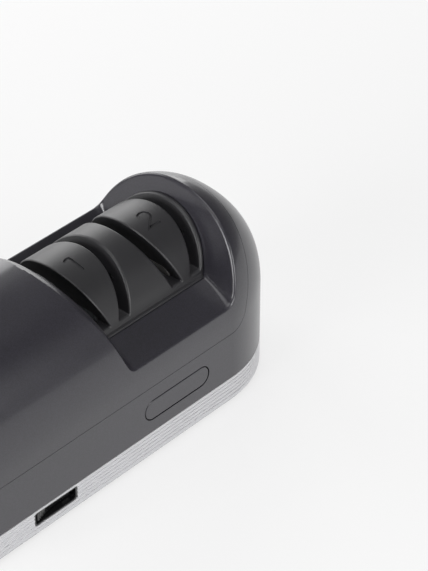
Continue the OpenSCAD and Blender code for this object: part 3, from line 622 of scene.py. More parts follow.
@dataclass
class Caster:
    """Casts a solid that is given as a distance into a mesh.

    Attributes:
        step: size of the grid's cells in millimetres.
        share: share of the faces that is kept.
        eps: how far to each side the slope is measured.
        rounds: how often the points move towards the surface.
        reach: longest move, as a share of the step.
        least_slope: lowest squared slope that a move is worked out with.
        agreement: lowest cosine between a face's and the solid's normal at which the solid's is
            taken.
    """

    step: float
    share: float = 1.0
    eps: float = 0.02
    rounds: int = 3
    reach: float = 0.6
    least_slope: float = 1e-3
    agreement: float = 0.72

    def cast(
        self, name: str, solid: Field, low: Sequence[float], high: Sequence[float]
    ) -> bpy.types.Object:
        """Casts the solid.

        Args:
            name: the object's name.
            solid: the distance, negative inside, in millimetres.
            low: lowest corner that is searched.
            high: highest corner.

        Returns:
            The object, with its normals taken from the solid.
        """
        axes = [np.arange(a - self.step, b + 2 * self.step, self.step) for a, b in zip(low, high)]
        points, quads = self._nets(solid, axes)
        for _ in range(self.rounds):
            points = self._settle(solid, points)
        piece = self._object(name, points, quads)
        if self.share < 1:
            piece = self._thin(piece)
            points = np.empty(len(piece.data.vertices) * 3)
            piece.data.vertices.foreach_get("co", points)
            points = self._settle(solid, points.reshape(-1, 3) / MM)
            piece.data.vertices.foreach_set("co", (points * MM).ravel())
        self.smooth(piece, solid)
        return piece

    def _nets(self, solid: Field, axes: list[Array]) -> tuple[Array, Array]:
        """Finds one point in each cell that the surface passes and joins them.

        Args:
            solid: the distance.
            axes: the grid's places along each axis.

        Returns:
            Points and quads.
        """
        grid = [a.reshape([-1 if k == j else 1 for j in range(3)]) for k, a in enumerate(axes)]
        value = np.broadcast_to(solid(*grid), [len(a) for a in axes]).astype(np.float32)
        inside = value < 0
        corners = [(i, j, k) for i in (0, 1) for j in (0, 1) for k in (0, 1)]
        size = [n - 1 for n in value.shape]
        count = sum(
            inside[i:i + size[0], j:j + size[1], k:k + size[2]].astype(np.int8) for i, j, k in corners
        )
        cells = np.argwhere((count > 0) & (count < len(corners)))
        # A cell's point is the mean of where the surface crosses its twelve edges.
        total = np.zeros((len(cells), 3))
        weight = np.zeros(len(cells))
        for c in corners:
            for axis in range(3):
                if c[axis]:
                    continue
                d = tuple(c[j] + (j == axis) for j in range(3))
                va = value[tuple((cells + c).T)]
                vb = value[tuple((cells + d).T)]
                cross = (va < 0) != (vb < 0)
                t = np.where(cross, va / np.where(cross, va - vb, 1), 0)
                spot = np.array([axes[j][cells[:, j] + c[j]] for j in range(3)]).T
                spot[:, axis] += t * self.step
                total += spot * cross[:, None]
                weight += cross
        # Each edge of the grid that crosses the surface gives a quad of the four cells around it.
        index = np.full(size, -1, np.int64)
        index[tuple(cells.T)] = np.arange(len(cells))
        quads = []
        for axis in range(3):
            b, c = (axis + 1) % 3, (axis + 2) % 3
            lower = [slice(1, -1)] * 3
            upper = list(lower)
            lower[axis], upper[axis] = slice(0, -1), slice(1, None)
            first, second = inside[tuple(lower)], inside[tuple(upper)]
            for flip, where in ((False, first & ~second), (True, ~first & second)):
                e = np.argwhere(where)
                e[:, b] += 1
                e[:, c] += 1
                ring = []
                for db, dc in ((-1, -1), (0, -1), (0, 0), (-1, 0)):
                    q = e.copy()
                    q[:, b] += db
                    q[:, c] += dc
                    ring.append(index[tuple(q.T)])
                ring = np.stack(ring, 1)
                quads.append(ring[:, ::-1] if flip else ring)
        return total / weight[:, None], np.concatenate(quads)

    def _gradient(self, solid: Field, points: Array) -> Array:
        """Measures the slope of the distance.

        Args:
            solid: the distance.
            points: where it is measured.

        Returns:
            The slope at each point.
        """
        out = np.empty_like(points)
        for axis in range(3):
            shift = np.zeros(3)
            shift[axis] = self.eps
            a, b = (points + shift).T, (points - shift).T
            out[:, axis] = (solid(*a) - solid(*b)) / (2 * self.eps)
        return out

    def _settle(self, solid: Field, points: Array) -> Array:
        """Moves points onto the surface along its slope, by less than a step.

        Args:
            solid: the distance.
            points: the points.

        Returns:
            The moved points.
        """
        slope = self._gradient(solid, points)
        away = solid(*points.T) / np.maximum((slope**2).sum(1), self.least_slope)
        move = -slope * away[:, None]
        length = np.linalg.norm(move, axis=1, keepdims=True)
        return points + move * np.minimum(1, self.reach * self.step / np.maximum(length, TINY))

    def _object(self, name: str, points: Array, quads: Array) -> bpy.types.Object:
        """Makes an object of quads.

        Args:
            name: its name.
            points: its points in millimetres.
            quads: four points of each face.

        Returns:
            The object, in metres.
        """
        mesh = bpy.data.meshes.new(name)
        mesh.vertices.add(len(points))
        mesh.vertices.foreach_set("co", (points * MM).astype(np.float32).ravel())
        mesh.loops.add(quads.size)
        mesh.loops.foreach_set("vertex_index", quads.astype(np.int32).ravel())
        mesh.polygons.add(len(quads))
        mesh.polygons.foreach_set("loop_start", np.arange(0, quads.size, 4, dtype=np.int32))
        mesh.update(calc_edges=True)
        mesh.validate()
        return stand(name, mesh)

    def _thin(self, piece: bpy.types.Object) -> bpy.types.Object:
        """Collapses edges down to the share of faces that is kept.

        Args:
            piece: the cast piece.

        Returns:
            The same object with fewer faces.
        """
        modifier = piece.modifiers.new("thin", "DECIMATE")
        modifier.ratio = self.share
        return freeze(piece)

    def smooth(self, piece: bpy.types.Object, solid: Field) -> None:
        """Takes the normals from the solid, and from the faces where something was cut in.

        Args:
            piece: the cast piece.
            solid: its distance.
        """
        mesh = piece.data
        points = np.empty(len(mesh.vertices) * 3)
        mesh.vertices.foreach_get("co", points)
        normal = self._gradient(solid, points.reshape(-1, 3) / MM)
        normal /= np.maximum(np.linalg.norm(normal, axis=1, keepdims=True), TINY)
        count = np.empty(len(mesh.polygons), np.int32)
        mesh.polygons.foreach_get("loop_total", count)
        flat = np.empty(len(mesh.polygons) * 3)
        mesh.polygons.foreach_get("normal", flat)
        flat = np.repeat(flat.reshape(-1, 3), count, axis=0)
        corner = np.empty(len(mesh.loops), np.int32)
        mesh.loops.foreach_get("vertex_index", corner)
        loops = normal[corner]
        agree = (loops * flat).sum(1) > self.agreement
        loops = np.where(agree[:, None], loops, flat)
        mesh.shade_smooth()
        mesh.normals_split_custom_set(loops.tolist())


def outward(mesh: bpy.types.Mesh) -> None:
    """Turns all faces outwards.

    Args:
        mesh: a closed mesh, which is changed.
    """
    work = bmesh.new()
    work.from_mesh(mesh)
    bmesh.ops.recalc_face_normals(work, faces=work.faces)
    work.to_mesh(mesh)
    work.free()


def box(low: Sequence[float], high: Sequence[float]) -> bpy.types.Mesh:
    """A box, from millimetres.

    Args:
        low: its lowest corner.
        high: its highest corner.

    Returns:
        The mesh, in metres.
    """
    mesh = bpy.data.meshes.new("box")
    xs, ys, zs = zip(low, high)
    verts = [(x * MM, y * MM, z * MM) for x in xs for y in ys for z in zs]
    faces = [(0, 1, 3, 2), (4, 6, 7, 5), (0, 4, 5, 1), (2, 3, 7, 6), (0, 2, 6, 4), (1, 5, 7, 3)]
    mesh.from_pydata(verts, [], faces)
    outward(mesh)
    return mesh


def prism(outline: Sequence[tuple[float, float]], depth: float) -> bpy.types.Mesh:
    """A prism that is centred on y 0.

    Args:
        outline: its outline in x and z, in metres.
        depth: its size along y.

    Returns:
        The mesh.
    """
    n = len(outline)
    verts = [(x, s * depth / 2, z) for s in (-1, 1) for x, z in outline]
    faces = [tuple(range(n)), tuple(range(2 * n - 1, n - 1, -1))]
    faces += [(k, (k + 1) % n, n + (k + 1) % n, n + k) for k in range(n)]
    mesh = bpy.data.meshes.new("prism")
    mesh.from_pydata(verts, [], faces)
    outward(mesh)
    return mesh


def plate(
    length: float, width: float, corner: float, depth: float, steps: int = 12
) -> bpy.types.Mesh:
    """A plate with rounded corners in x and z, centred on the origin, from millimetres.

    Args:
        length: size along x.
        width: size along z.
        corner: radius of its corners.
        depth: size along y.
        steps: faces around a corner.

    Returns:
        The mesh, in metres.
    """
    outline = []
    for quarter, (sx, sz) in enumerate(((1, 1), (-1, 1), (-1, -1), (1, -1))):
        for k in range(steps + 1):
            turn = math.pi / 2 * (quarter + k / steps)
            x = sx * (length / 2 - corner) + corner * math.cos(turn)
            z = sz * (width / 2 - corner) + corner * math.sin(turn)
            outline.append((x * MM, z * MM))
    return prism(outline, depth * MM)


def turned(profile: Sequence[tuple[float, float]], sides: int) -> bpy.types.Mesh:
    """A solid turned about z.

    Args:
        profile: radius and height of its points in millimetres, from pole to pole, or a closed
            loop where the first radius isn't 0.
        sides: faces around.

    Returns:
        The mesh, in metres.
    """
    work = bmesh.new()
    turns = [2 * math.pi * k / sides for k in range(sides)]
    rings = []
    for r, z in profile:
        if r == 0:
            rings.append([work.verts.new((0, 0, z * MM))] * sides)
            continue
        ring = [(r * MM * math.cos(a), r * MM * math.sin(a), z * MM) for a in turns]
        rings.append([work.verts.new(spot) for spot in ring])
    pairs = list(zip(rings, rings[1:])) + ([(rings[-1], rings[0])] if profile[0][0] else [])
    for low, high in pairs:
        for k in range(sides):
            j = (k + 1) % sides
            work.faces.new(list(dict.fromkeys((low[k], low[j], high[j], high[k]))))
    bmesh.ops.recalc_face_normals(work, faces=work.faces)
    mesh = bpy.data.meshes.new("turned")
    work.to_mesh(mesh)
    work.free()
    return mesh


def rod(radius: float, length: float, sides: int) -> bpy.types.Mesh:
    """A round bar along z, centred on the origin.

    Args:
        radius: its radius in metres.
        length: its length.
        sides: faces around.

    Returns:
        The mesh.
    """
    turn = [2 * math.pi * k / sides for k in range(sides)]
    mesh = prism([(radius * math.cos(a), radius * math.sin(a)) for a in turn], length)
    mesh.transform(Matrix.Rotation(math.pi / 2, 4, "X"))
    return mesh


def stand(name: str, mesh: bpy.types.Mesh) -> bpy.types.Object:
    """Puts a mesh into the scene as an object at the origin.

    Args:
        name: the object's name.
        mesh: its mesh, which takes the same name.

    Returns:
        The object.
    """
    mesh.name = name
    piece = bpy.data.objects.new(name, mesh)
    bpy.context.scene.collection.objects.link(piece)
    return piece


def crease(piece: bpy.types.Object, degrees: float = 35.0) -> bpy.types.Object:
    """Shades a piece smooth, apart from its sharp edges.

    Args:
        piece: the piece.
        degrees: the angle from which an edge is sharp.

    Returns:
        The same piece.
    """
    piece.data.shade_smooth()
    piece.data.set_sharp_from_angle(angle=math.radians(degrees))
    return piece


def marks(name: str, spots: Spots) -> bpy.types.Object:
    """Points for the scatter recipe.

    Args:
        name: the piece's name.
        spots: place in millimetres and turn in radians of each.

    Returns:
        The object, whose points carry the attribute turn.
    """
    mesh = bpy.data.meshes.new(name)
    mesh.from_pydata([tuple(Vector(place) * MM) for place, _ in spots], [], [])
    attribute = mesh.attributes.new("turn", "FLOAT_VECTOR", "POINT")
    for item, (_, turn) in zip(attribute.data, spots):
        item.vector = turn
    return stand(name, mesh)


def carve(piece: bpy.types.Object, tools: Sequence[bpy.types.Mesh], how: str = "DIFFERENCE") -> None:
    """Cuts tools out of a piece.

    Args:
        piece: the piece, which is changed.
        tools: closed meshes in the same frame.
        how: DIFFERENCE, or INTERSECT to keep what is inside the tools.
    """
    cutters = []
    for k, mesh in enumerate(tools):
        cutter = stand(f"cutter_{k}", mesh)
        modifier = piece.modifiers.new("cut", "BOOLEAN")
        modifier.operation, modifier.solver, modifier.object = how, "MANIFOLD", cutter
        cutters.append(cutter)
    freeze(piece)
    for cutter in cutters:
        bpy.data.objects.remove(cutter)


def freeze(piece: bpy.types.Object) -> bpy.types.Object:
    """Turns a piece with modifiers into a plain mesh.

    Args:
        piece: the piece, which keeps its name.

    Returns:
        The same object with its modifiers applied and removed.
    """
    graph = bpy.context.evaluated_depsgraph_get()
    mesh = bpy.data.meshes.new_from_object(piece.evaluated_get(graph), depsgraph=graph)
    piece.modifiers.clear()
    piece.data = mesh
    return piece


# ---- The moulded body ------------------------------------------------------------------------


@dataclass
class Body:
    """Sizes and surfaces that hood, cradle, band and base share, about the drive axis.

    The d sizes are depths in front of and behind the axis, the n sizes the powers of the crown's
    curve there, and the r sizes the radii of the plan's corners. The cap is the hood's end in the
    side view, where the seam turns up. The crown's scale turns its curve into about a distance.
    """

    length: float = 238.0
    front_d: float = 47.0
    back_d: float = 40.0
    crown_h: float = 89.0
    shoulder_h: float = 41.5
    front_n: float = 2.25
    back_n: float = 2.0
    front_r: float = 46.0
    back_r: float = 38.0
    dome_l: float = 45.2
    wall: float = 2.4
    seam_h: float = 37.0
    cap_x: float = 79.5
    cap_lean: float = math.radians(20)
    cap_r: float = 10.0
    foot_stand: float = 1.5
    band_h: float = 12.0
    edge_h: float = 2.1
    dome_start: float = 0.2
    crown_scale: float = 22.0
    shaft_h: float = 43.5

    @property
    def axis_y(self) -> float:
        """Distance of the drive axis behind the middle of the body."""
        return (self.front_d - self.back_d) / 2

    @property
    def front_y(self) -> float:
        """Place of the body's front."""
        return self.axis_y - self.front_d

    @property
    def half(self) -> float:
        """Half the body's length."""
        return self.length / 2

    @property
    def band_top(self) -> float:
        """Height of the band's top edge."""
        return self.foot_stand + self.band_h

    def plan(self, x: Array, y: Array) -> Array:
        """Distance to the rounded oblong plan.

        Args:
            x: place along the body in millimetres.
            y: place across it, growing to the back.

        Returns:
            The distance, negative inside.
        """
        y = y - self.axis_y
        ax = np.abs(x)

        def side(d: float, r: float, v: Array) -> Array:
            """Distance to one half of the plan.

            Args:
                d: depth of the half.
                r: radius of its corners.
                v: distance from the axis.

            Returns:
                The distance, negative inside.
            """
            p, q = ax - (self.half - r), v - (d - r)
            return np.hypot(np.maximum(p, 0), np.maximum(q, 0)) + np.minimum(np.maximum(p, q), 0) - r

        return np.where(y < 0, side(self.front_d, self.front_r, -y), side(self.back_d, self.back_r, y))

    def loaf(self, x: Array, y: Array, z: Array) -> Array:
        """Distance to the loaf with its rounded crown and domed ends.

        Args:
            x: place along the body in millimetres.
            y: place across it, growing to the back.
            z: height.

        Returns:
            The distance, negative inside.
        """
        v = y - self.axis_y
        ax = np.abs(x)
        e = np.maximum(ax - (self.half - self.dome_l + self.dome_start), 0) / self.dome_l
        fall = np.sqrt(np.maximum(1 - e * e, 0))
        rise = self.crown_h - self.shoulder_h
        h = np.maximum(z - self.shoulder_h, 0) / rise

        def side(d: float, r: float, n: float) -> Array:
            """Height function of the crown on one side of the axis.

            Args:
                d: depth of that side.
                r: radius of the plan's corners there.
                n: power of its curve.

            Returns:
                The function, 1 on the crown.
            """
            s = np.maximum(ax - (self.half - r), 0)
            w = d - r + np.sqrt(np.maximum(r * r - s * s, 0))
            return (np.power(np.abs(v) * fall / w, n) + np.power(h, n)) ** (2 / n)

        crown = np.where(
            v < 0,
            side(self.front_d, self.front_r, self.front_n),
            side(self.back_d, self.back_r, self.back_n),
        )
        return np.maximum((crown + e * e - 1) * self.crown_scale, self.plan(x, y))


@dataclass
class Saddle:
    """Sizes and surfaces of the saddle and of the slot guide in it.

    A stage is a wheel with a leaning slot on each side. The deck is the guide's flat part, the
    aprons are the saddle's slopes in front of it and behind it, and the nose is the end of the
    long hump, whose face draws back from the guide at its foot.
    """

    body: Body
    stage_x: float = 23.7
    pitch: float = 42.5
    lean: float = math.radians(20)
    slot_w: float = 5.4
    slot_floor: float = 59.5
    foot_w: float = 5.4
    arch_r: float = 28.0
    arch_h: float = 52.0
    rim_t: float = 2.0
    floor_h: float = 56.0
    deck_t: float = 1.2
    deck_rim: float = 1.5
    apron_fall: float = math.radians(17)
    apron_rise: float = math.radians(38)
    front_round: float = 8.0
    back_round: float = 16.0
    nose_round_less: float = 1.5
    apron_round: float = 9.0
    apron_blend: float = 7.0
    floor_edge: float = 1.2
    nose_l: float = 6.0
    nose_drop: float = 5.0
    nose_edge: float = 0.7
    nose_foot: float = 4.2
    nose_foot_up: float = 3.0
    nose_foot_h: float = 8.0
    clear: float = 0.2
    wheel_r: float = 25.0
    wheel_t: float = 5.6
    wheel_clear: float = 0.8

    @property
    def slot_xw(self) -> float:
        """Width of a slot along x."""
        return self.slot_w / math.cos(self.lean)

    @property
    def reach(self) -> float:
        """Distance from a wheel to the guide's outer face at the slot floors."""
        return self.foot_w / 2 + self.slot_xw + self.rim_t / math.cos(self.lean)

    @property
    def deck_hd(self) -> float:
        """Half the deck's depth."""
        drop = self.floor_h + self.deck_t - self.arch_h
        return math.sqrt(self.arch_r**2 - drop**2) + self.deck_rim

    @property
    def fine_x(self) -> float:
        """Place of the fine wheel."""
        return self.stage_x + self.pitch

    def left(self, z: Array) -> Array:
        """Left face of the guide at a height."""
        return self.stage_x - self.reach - math.tan(self.lean) * (z - self.slot_floor)

    def right(self, z: Array) -> Array:
        """Right face of the guide at a height."""
        return self.fine_x + self.reach + math.tan(self.lean) * (z - self.slot_floor)

    def ends(self, x: Array, z: Array, grow: float) -> tuple[Array, Array]:
        """Distances to the guide's leaning left and right faces, moved out by grow."""
        c = math.cos(self.lean)
        return (self.left(z) - x) * c - grow, (x - self.right(z)) * c - grow

    def space(self, x: Array, y: Array, z: Array) -> Array:
        """Distance to the saddle's open space.

        Args:
            x: place along the body in millimetres.
            y: place across it, growing to the back.
            z: height.

        Returns:
            The distance, negative inside.
        """
        v = y - self.body.axis_y
        c, s = math.cos(self.lean), math.sin(self.lean)
        t = ease((v - self.deck_hd) / self.apron_blend)
        front_low = self.floor_h - math.tan(self.apron_fall) * (self.body.front_d - self.deck_hd)
        bottom = front_low + (self.floor_h - front_low) * t - z
        a, b = self.ends(x, z, self.clear)
        a = a - self.nose_l * c
        swell = (self.back_round - self.front_round) * t
        view = np.maximum(
            meet(bottom, a, self.front_round - self.nose_round_less + swell, s),
            meet(bottom, b, self.front_round + swell, s),
        )
        ahead, behind = -v - self.deck_hd, v - self.deck_hd
        flat = self.floor_h - z
        front = (flat - ahead * math.tan(self.apron_fall)) * math.cos(self.apron_fall)
        back = (flat + behind * math.tan(self.apron_rise)) * math.cos(self.apron_rise)
        hollow = meet(flat, back, self.apron_round, math.cos(self.apron_rise))
        floor = np.where(v < 0, np.minimum(flat, front), hollow)
        return meet(view, floor, self.floor_edge)

    def nose(self, x: Array, z: Array, loaf: Array) -> Array:
        """Distance to the long hump's end, whose edge rolls over to the slot guide.

        Args:
            x: place along the body.
            z: height.
            loaf: distance to the loaf there.

        Returns:
            The distance, negative inside.
        """
        shift = self.nose_foot * ease((self.floor_h + self.nose_foot_up - z) / self.nose_foot_h)
        face = (x - self.left(z) + shift) * math.cos(self.lean) + self.clear
        share = np.clip((x - self.left(z) + self.clear) / self.nose_l + 1, 0, 1)
        return meet(face, loaf + self.nose_drop * share**2, self.nose_edge)


class Assembly:
    """What each sub-assembly does with the frame's nodes and with its own pieces."""

    def dress(self, finishes: dict[str, Finish]) -> None:
        """Gives nodes that stay their finish.

        Args:
            finishes: finish by the node's name.
        """
        for name, finish in finishes.items():
            finish.on(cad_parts[name])
            LOG.info("%s: %s", name, finish.name)

    def hand_over(
        self,
        piece: bpy.types.Object,
        finish: Finish,
        slot: str,
        nodes: Sequence[str],
        rider: str = "body",
    ) -> None:
        """Lets a piece stand for nodes of the frame.

        Args:
            piece: the piece.
            finish: its finish.
            slot: not used.
            nodes: the nodes that it stands for.
            rider: the body that it moves with.
        """
        finish.on(piece)
        for name in nodes:
            finish.on(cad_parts[name])
        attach(piece, rider)
        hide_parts(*nodes)
        LOG.info("%s: %d faces, %s", piece.name, len(piece.data.polygons), finish.name)


@dataclass
class Screw:
    """A pan-head screw with a cross recess, drawn with its shank up from z 0.

    The dome is given in shares of the head's radius and height, the thread's root and tip radius
    in shares of the shank's radius, its crest and root heights in shares of the pitch, and the
    cross by the length, width, corner and depth of its arms.
    """

    length: float = 10.0
    shank_r: float = 1.5
    head_r: float = 2.8
    head_h: float = 1.6
    pitch: float = 0.7
    root: float = 0.8
    crest_up: float = 0.45
    root_up: float = 0.95
    neck: float = 0.5
    lead: float = 1.2
    tip: float = 0.3
    tip_r: float = 0.7
    cross: tuple[float, float, float, float] = (3.4, 1.6, 0.05, 0.7)
    dome: tuple[tuple[float, float], ...] = (
        (0.0, -1.0), (0.4, -1.0), (0.7, -0.88), (0.9, -0.6), (1.0, -0.25), (1.0, 0.0),
    )
    sides: int = 28

    def solid(self) -> bpy.types.Object:
        """Turns the screw and cuts its recess.

        Returns:
            The screw.
        """
        root = self.shank_r * self.root
        profile = [(self.head_r * r, self.head_h * z) for r, z in self.dome]
        profile += [(root, 0.0), (root, self.neck)]
        for k in range(int((self.length - self.lead) / self.pitch)):
            z = self.neck + k * self.pitch
            crest = (self.shank_r, z + self.crest_up * self.pitch)
            profile += [crest, (root, z + self.root_up * self.pitch)]
        profile += [(self.shank_r * self.tip_r, self.length - self.tip), (0.0, self.length)]
        screw = stand("screw", turned(profile, self.sides))
        arms = [plate(*self.cross), plate(*self.cross)]
        for mesh, turn in zip(arms, (0.0, math.pi / 2)):
            seat = Matrix.Translation((0, 0, -self.head_h * MM))
            mesh.transform(seat @ Matrix.Rotation(turn, 4, "Z"))
        carve(screw, arms)
        return screw

    def scatter(self, name: str, recipe: Scatter, spots: Spots) -> bpy.types.Object:
        """Puts the screw on places.

        Args:
            name: the piece's name.
            recipe: the scatter tree.
            spots: place and turn of each screw.

        Returns:
            The screws as one plain mesh.
        """
        screw = self.solid()
        piece = marks(name, spots)
        recipe.cook(piece, ZINC, {"Thing": screw, "Spin": 2 * math.pi, "Seed": 7})
        bpy.data.objects.remove(screw)
        return crease(piece)


@dataclass
class Housings(Assembly):
    """Hood, cradle and the badge in the cradle's front.

    The window is the hood's opening under the guide, and the skirt is the cradle's wall behind
    the band. The badge is cast in the room that badge_room leaves along, up, ahead and behind.
    """

    body: Body
    saddle: Saddle
    badge_x: float = 39.0
    badge_z: float = 25.0
    badge_l: float = 38.0
    badge_w: float = 9.5
    badge_t: float = 1.0
    badge_edge: float = 0.4
    badge_gap: float = 0.45
    badge_room: tuple[float, float, float, float] = (20.0, 6.0, 0.5, 1.5)
    pocket_d: float = 3.0
    seam_gap: float = 0.2
    seam_lap: float = 2.0
    rim_edge: float = 1.2
    nose_fillet: float = 2.5
    fillet_gain: float = 3.0
    fillet_l: float = 10.0
    window_in: float = 1.7
    window_rim: float = 3.3
    window_up: float = 1.0
    foot_edge: float = 0.4
    skirt_in: float = 2.1
    skirt_low: float = 4.1
    skirt_lap: float = 1.0
    skirt_wall: float = 1.8
    view_h: float = 60.0
    view_d: float = 120.0
    hood_room: float = 3.0
    cradle_low: float = 3.0
    grommet_rim: float = 2.0

    def hood(self, x: Array, y: Array, z: Array) -> Array:
        """Distance to the hood.

        Args:
            x: place along the body in millimetres.
            y: place across it, growing to the back.
            z: height.

        Returns:
            The distance, negative inside.
        """
        b, s = self.body, self.saddle
        loaf = b.loaf(x, y, z)
        space = s.space(x, y, z)
        hollowed = meet(loaf, -space, self.rim_edge)
        ahead = s.body.axis_y - y - s.deck_hd
        fillet = self.nose_fillet + self.fillet_gain * ease(ahead / self.fillet_l)
        outer = np.maximum(join(hollowed, np.maximum(loaf, s.nose(x, z, loaf)), fillet), loaf)
        inner = np.maximum(loaf + b.wall, b.wall - space)
        v = y - b.axis_y
        left, right = s.ends(x, z, -self.window_in)
        window = np.maximum(np.maximum(left, right), np.abs(v) - (s.deck_hd - self.window_rim))
        window = np.maximum(window, z - (s.floor_h + self.window_up))
        closed = np.maximum(outer, b.seam_h - self.seam_lap - z)
        return np.maximum(closed, -np.minimum(inner, window))

    def badge(self, x: Array, y: Array, z: Array) -> Array:
        """Distance to the bare badge.

        Args:
            x: place along the body in millimetres.
            y: place across it, growing to the back.
            z: height.

        Returns:
            The distance, negative inside.
        """
        reach = (self.badge_l - self.badge_w) / 2
        off = np.maximum(np.abs(x - self.badge_x) - reach, 0)
        rim = np.hypot(off, z - self.badge_z) - self.badge_w / 2
        front = self.body.front_y - y
        return np.maximum(meet(rim, front, self.badge_edge), -front - self.badge_t)

    def cradle(self, x: Array, y: Array, z: Array) -> Array:
        """Distance to the cradle with its two domed ends.

        Args:
            x: place along the body in millimetres.
            y: place across it, growing to the back.
            z: height.

        Returns:
            The distance, negative inside.
        """
        b = self.body
        loaf = b.loaf(x, y, z)
        outer = meet(loaf, b.band_top - z, self.foot_edge)
        ends = np.maximum(self.skirt_low - z, z - b.band_top - self.skirt_lap)
        skirt = np.maximum(b.plan(x, y) + self.skirt_in, ends)
        outer = np.minimum(outer, skirt)
        thick = np.where(z < b.band_top + self.skirt_lap, self.skirt_wall, 1.0)
        return np.maximum(outer, -(loaf + b.wall * thick))

    def view(self, grow: float, steps: int = 24) -> bpy.types.Mesh:
        """The hood's share of the side view as a prism.

        Args:
            grow: how far its edge stands out, in millimetres.
            steps: faces around the arc where the seam turns up.

        Returns:
            The mesh.
        """
        b = self.body
        s, c = math.sin(b.cap_lean), math.cos(b.cap_lean)
        cx, cz, r = b.cap_x - b.cap_r * (1 - s) / c, b.seam_h + b.cap_r, b.cap_r + grow
        turn = [-math.pi / 2 + (math.pi / 2 - b.cap_lean) * k / steps for k in range(steps + 1)]
        right = [(cx + r * math.cos(a), cz + r * math.sin(a)) for a in turn]
        right.append((right[-1][0] + self.view_h * s, right[-1][1] + self.view_h * c))
        outline = right + [(-x, z) for x, z in reversed(right)]
        return prism([(x * MM, z * MM) for x, z in outline], self.view_d * MM)

    def cord_hole(self) -> bpy.types.Mesh:
        """The hole for the cord's grommet, in the back wall.

        Returns:
            The mesh.
        """
        low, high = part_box("cord_grommet")
        mid = (low + high) / 2
        hole = rod((high.x - low.x) / 2 - self.grommet_rim * MM, length=0.02, sides=64)
        place = Matrix.Translation((mid.x, high.y, mid.z))
        hole.transform(place @ Matrix.Rotation(math.pi / 2, 4, "X"))
        return hole

    def badge_pocket(self) -> bpy.types.Mesh:
        """The pocket for the badge, in the front.

        Returns:
            The mesh.
        """
        width = self.badge_w + 2 * self.badge_gap
        pocket = plate(self.badge_l + 2 * self.badge_gap, width, width / 2, self.pocket_d)
        place = Vector((self.badge_x, self.body.front_y, self.badge_z)) * MM
        pocket.transform(Matrix.Translation(place))
        return pocket

    def build(self) -> None:
        """Casts both housings and the badge, and cuts what sits in the cradle's walls."""
        b = self.body
        y0, y1 = b.front_y, b.axis_y + b.back_d
        caster = Caster(step=0.66, share=0.42)
        low, high = (-b.half, y0, b.seam_h - self.hood_room), (b.half, y1, b.crown_h)
        hood = caster.cast("hood", self.hood, low, high)
        carve(hood, [self.view(-self.seam_gap)], "INTERSECT")
        caster.smooth(hood, self.hood)
        cradle = caster.cast("cradle", self.cradle, (-b.half, y0, self.cradle_low), high)
        tools = [self.view(0.0), self.badge_pocket(), opening("switch_bezel"), self.cord_hole()]
        carve(cradle, tools)
        caster.smooth(cradle, self.cradle)
        self.hand_over(hood, HOUSING, "housing", ["upper_housing"])
        panels = ["lower_front", "lower_back", "lower_left_end", "lower_right_end"]
        self.hand_over(cradle, HOUSING, "housing", panels)
        along, up, ahead, behind = self.badge_room
        low = (self.badge_x - along, y0 - ahead, self.badge_z - up)
        high = (self.badge_x + along, y0 + behind, self.badge_z + up)
        badge = Caster(step=0.3).cast("badge", self.badge, low, high)
        self.hand_over(badge, HOUSING, "housing", ["badge_plate"])


def opening(node: str, corner: float = 1.3, margin: float = 3.0) -> bpy.types.Mesh:
    """A node's box as a cutter with rounded corners in the side view.

    Args:
        node: the node that sits in the opening.
        corner: radius of the corners in millimetres.
        margin: how far the cutter stands out in front.

    Returns:
        The mesh.
    """
    low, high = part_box(node)
    size, mid = (high - low) / MM, (low + high) / 2
    mesh = plate(size.x, size.z, corner, size.y + margin)
    mesh.transform(Matrix.Translation(mid - Vector((0, margin / 2 * MM, 0))))
    return mesh


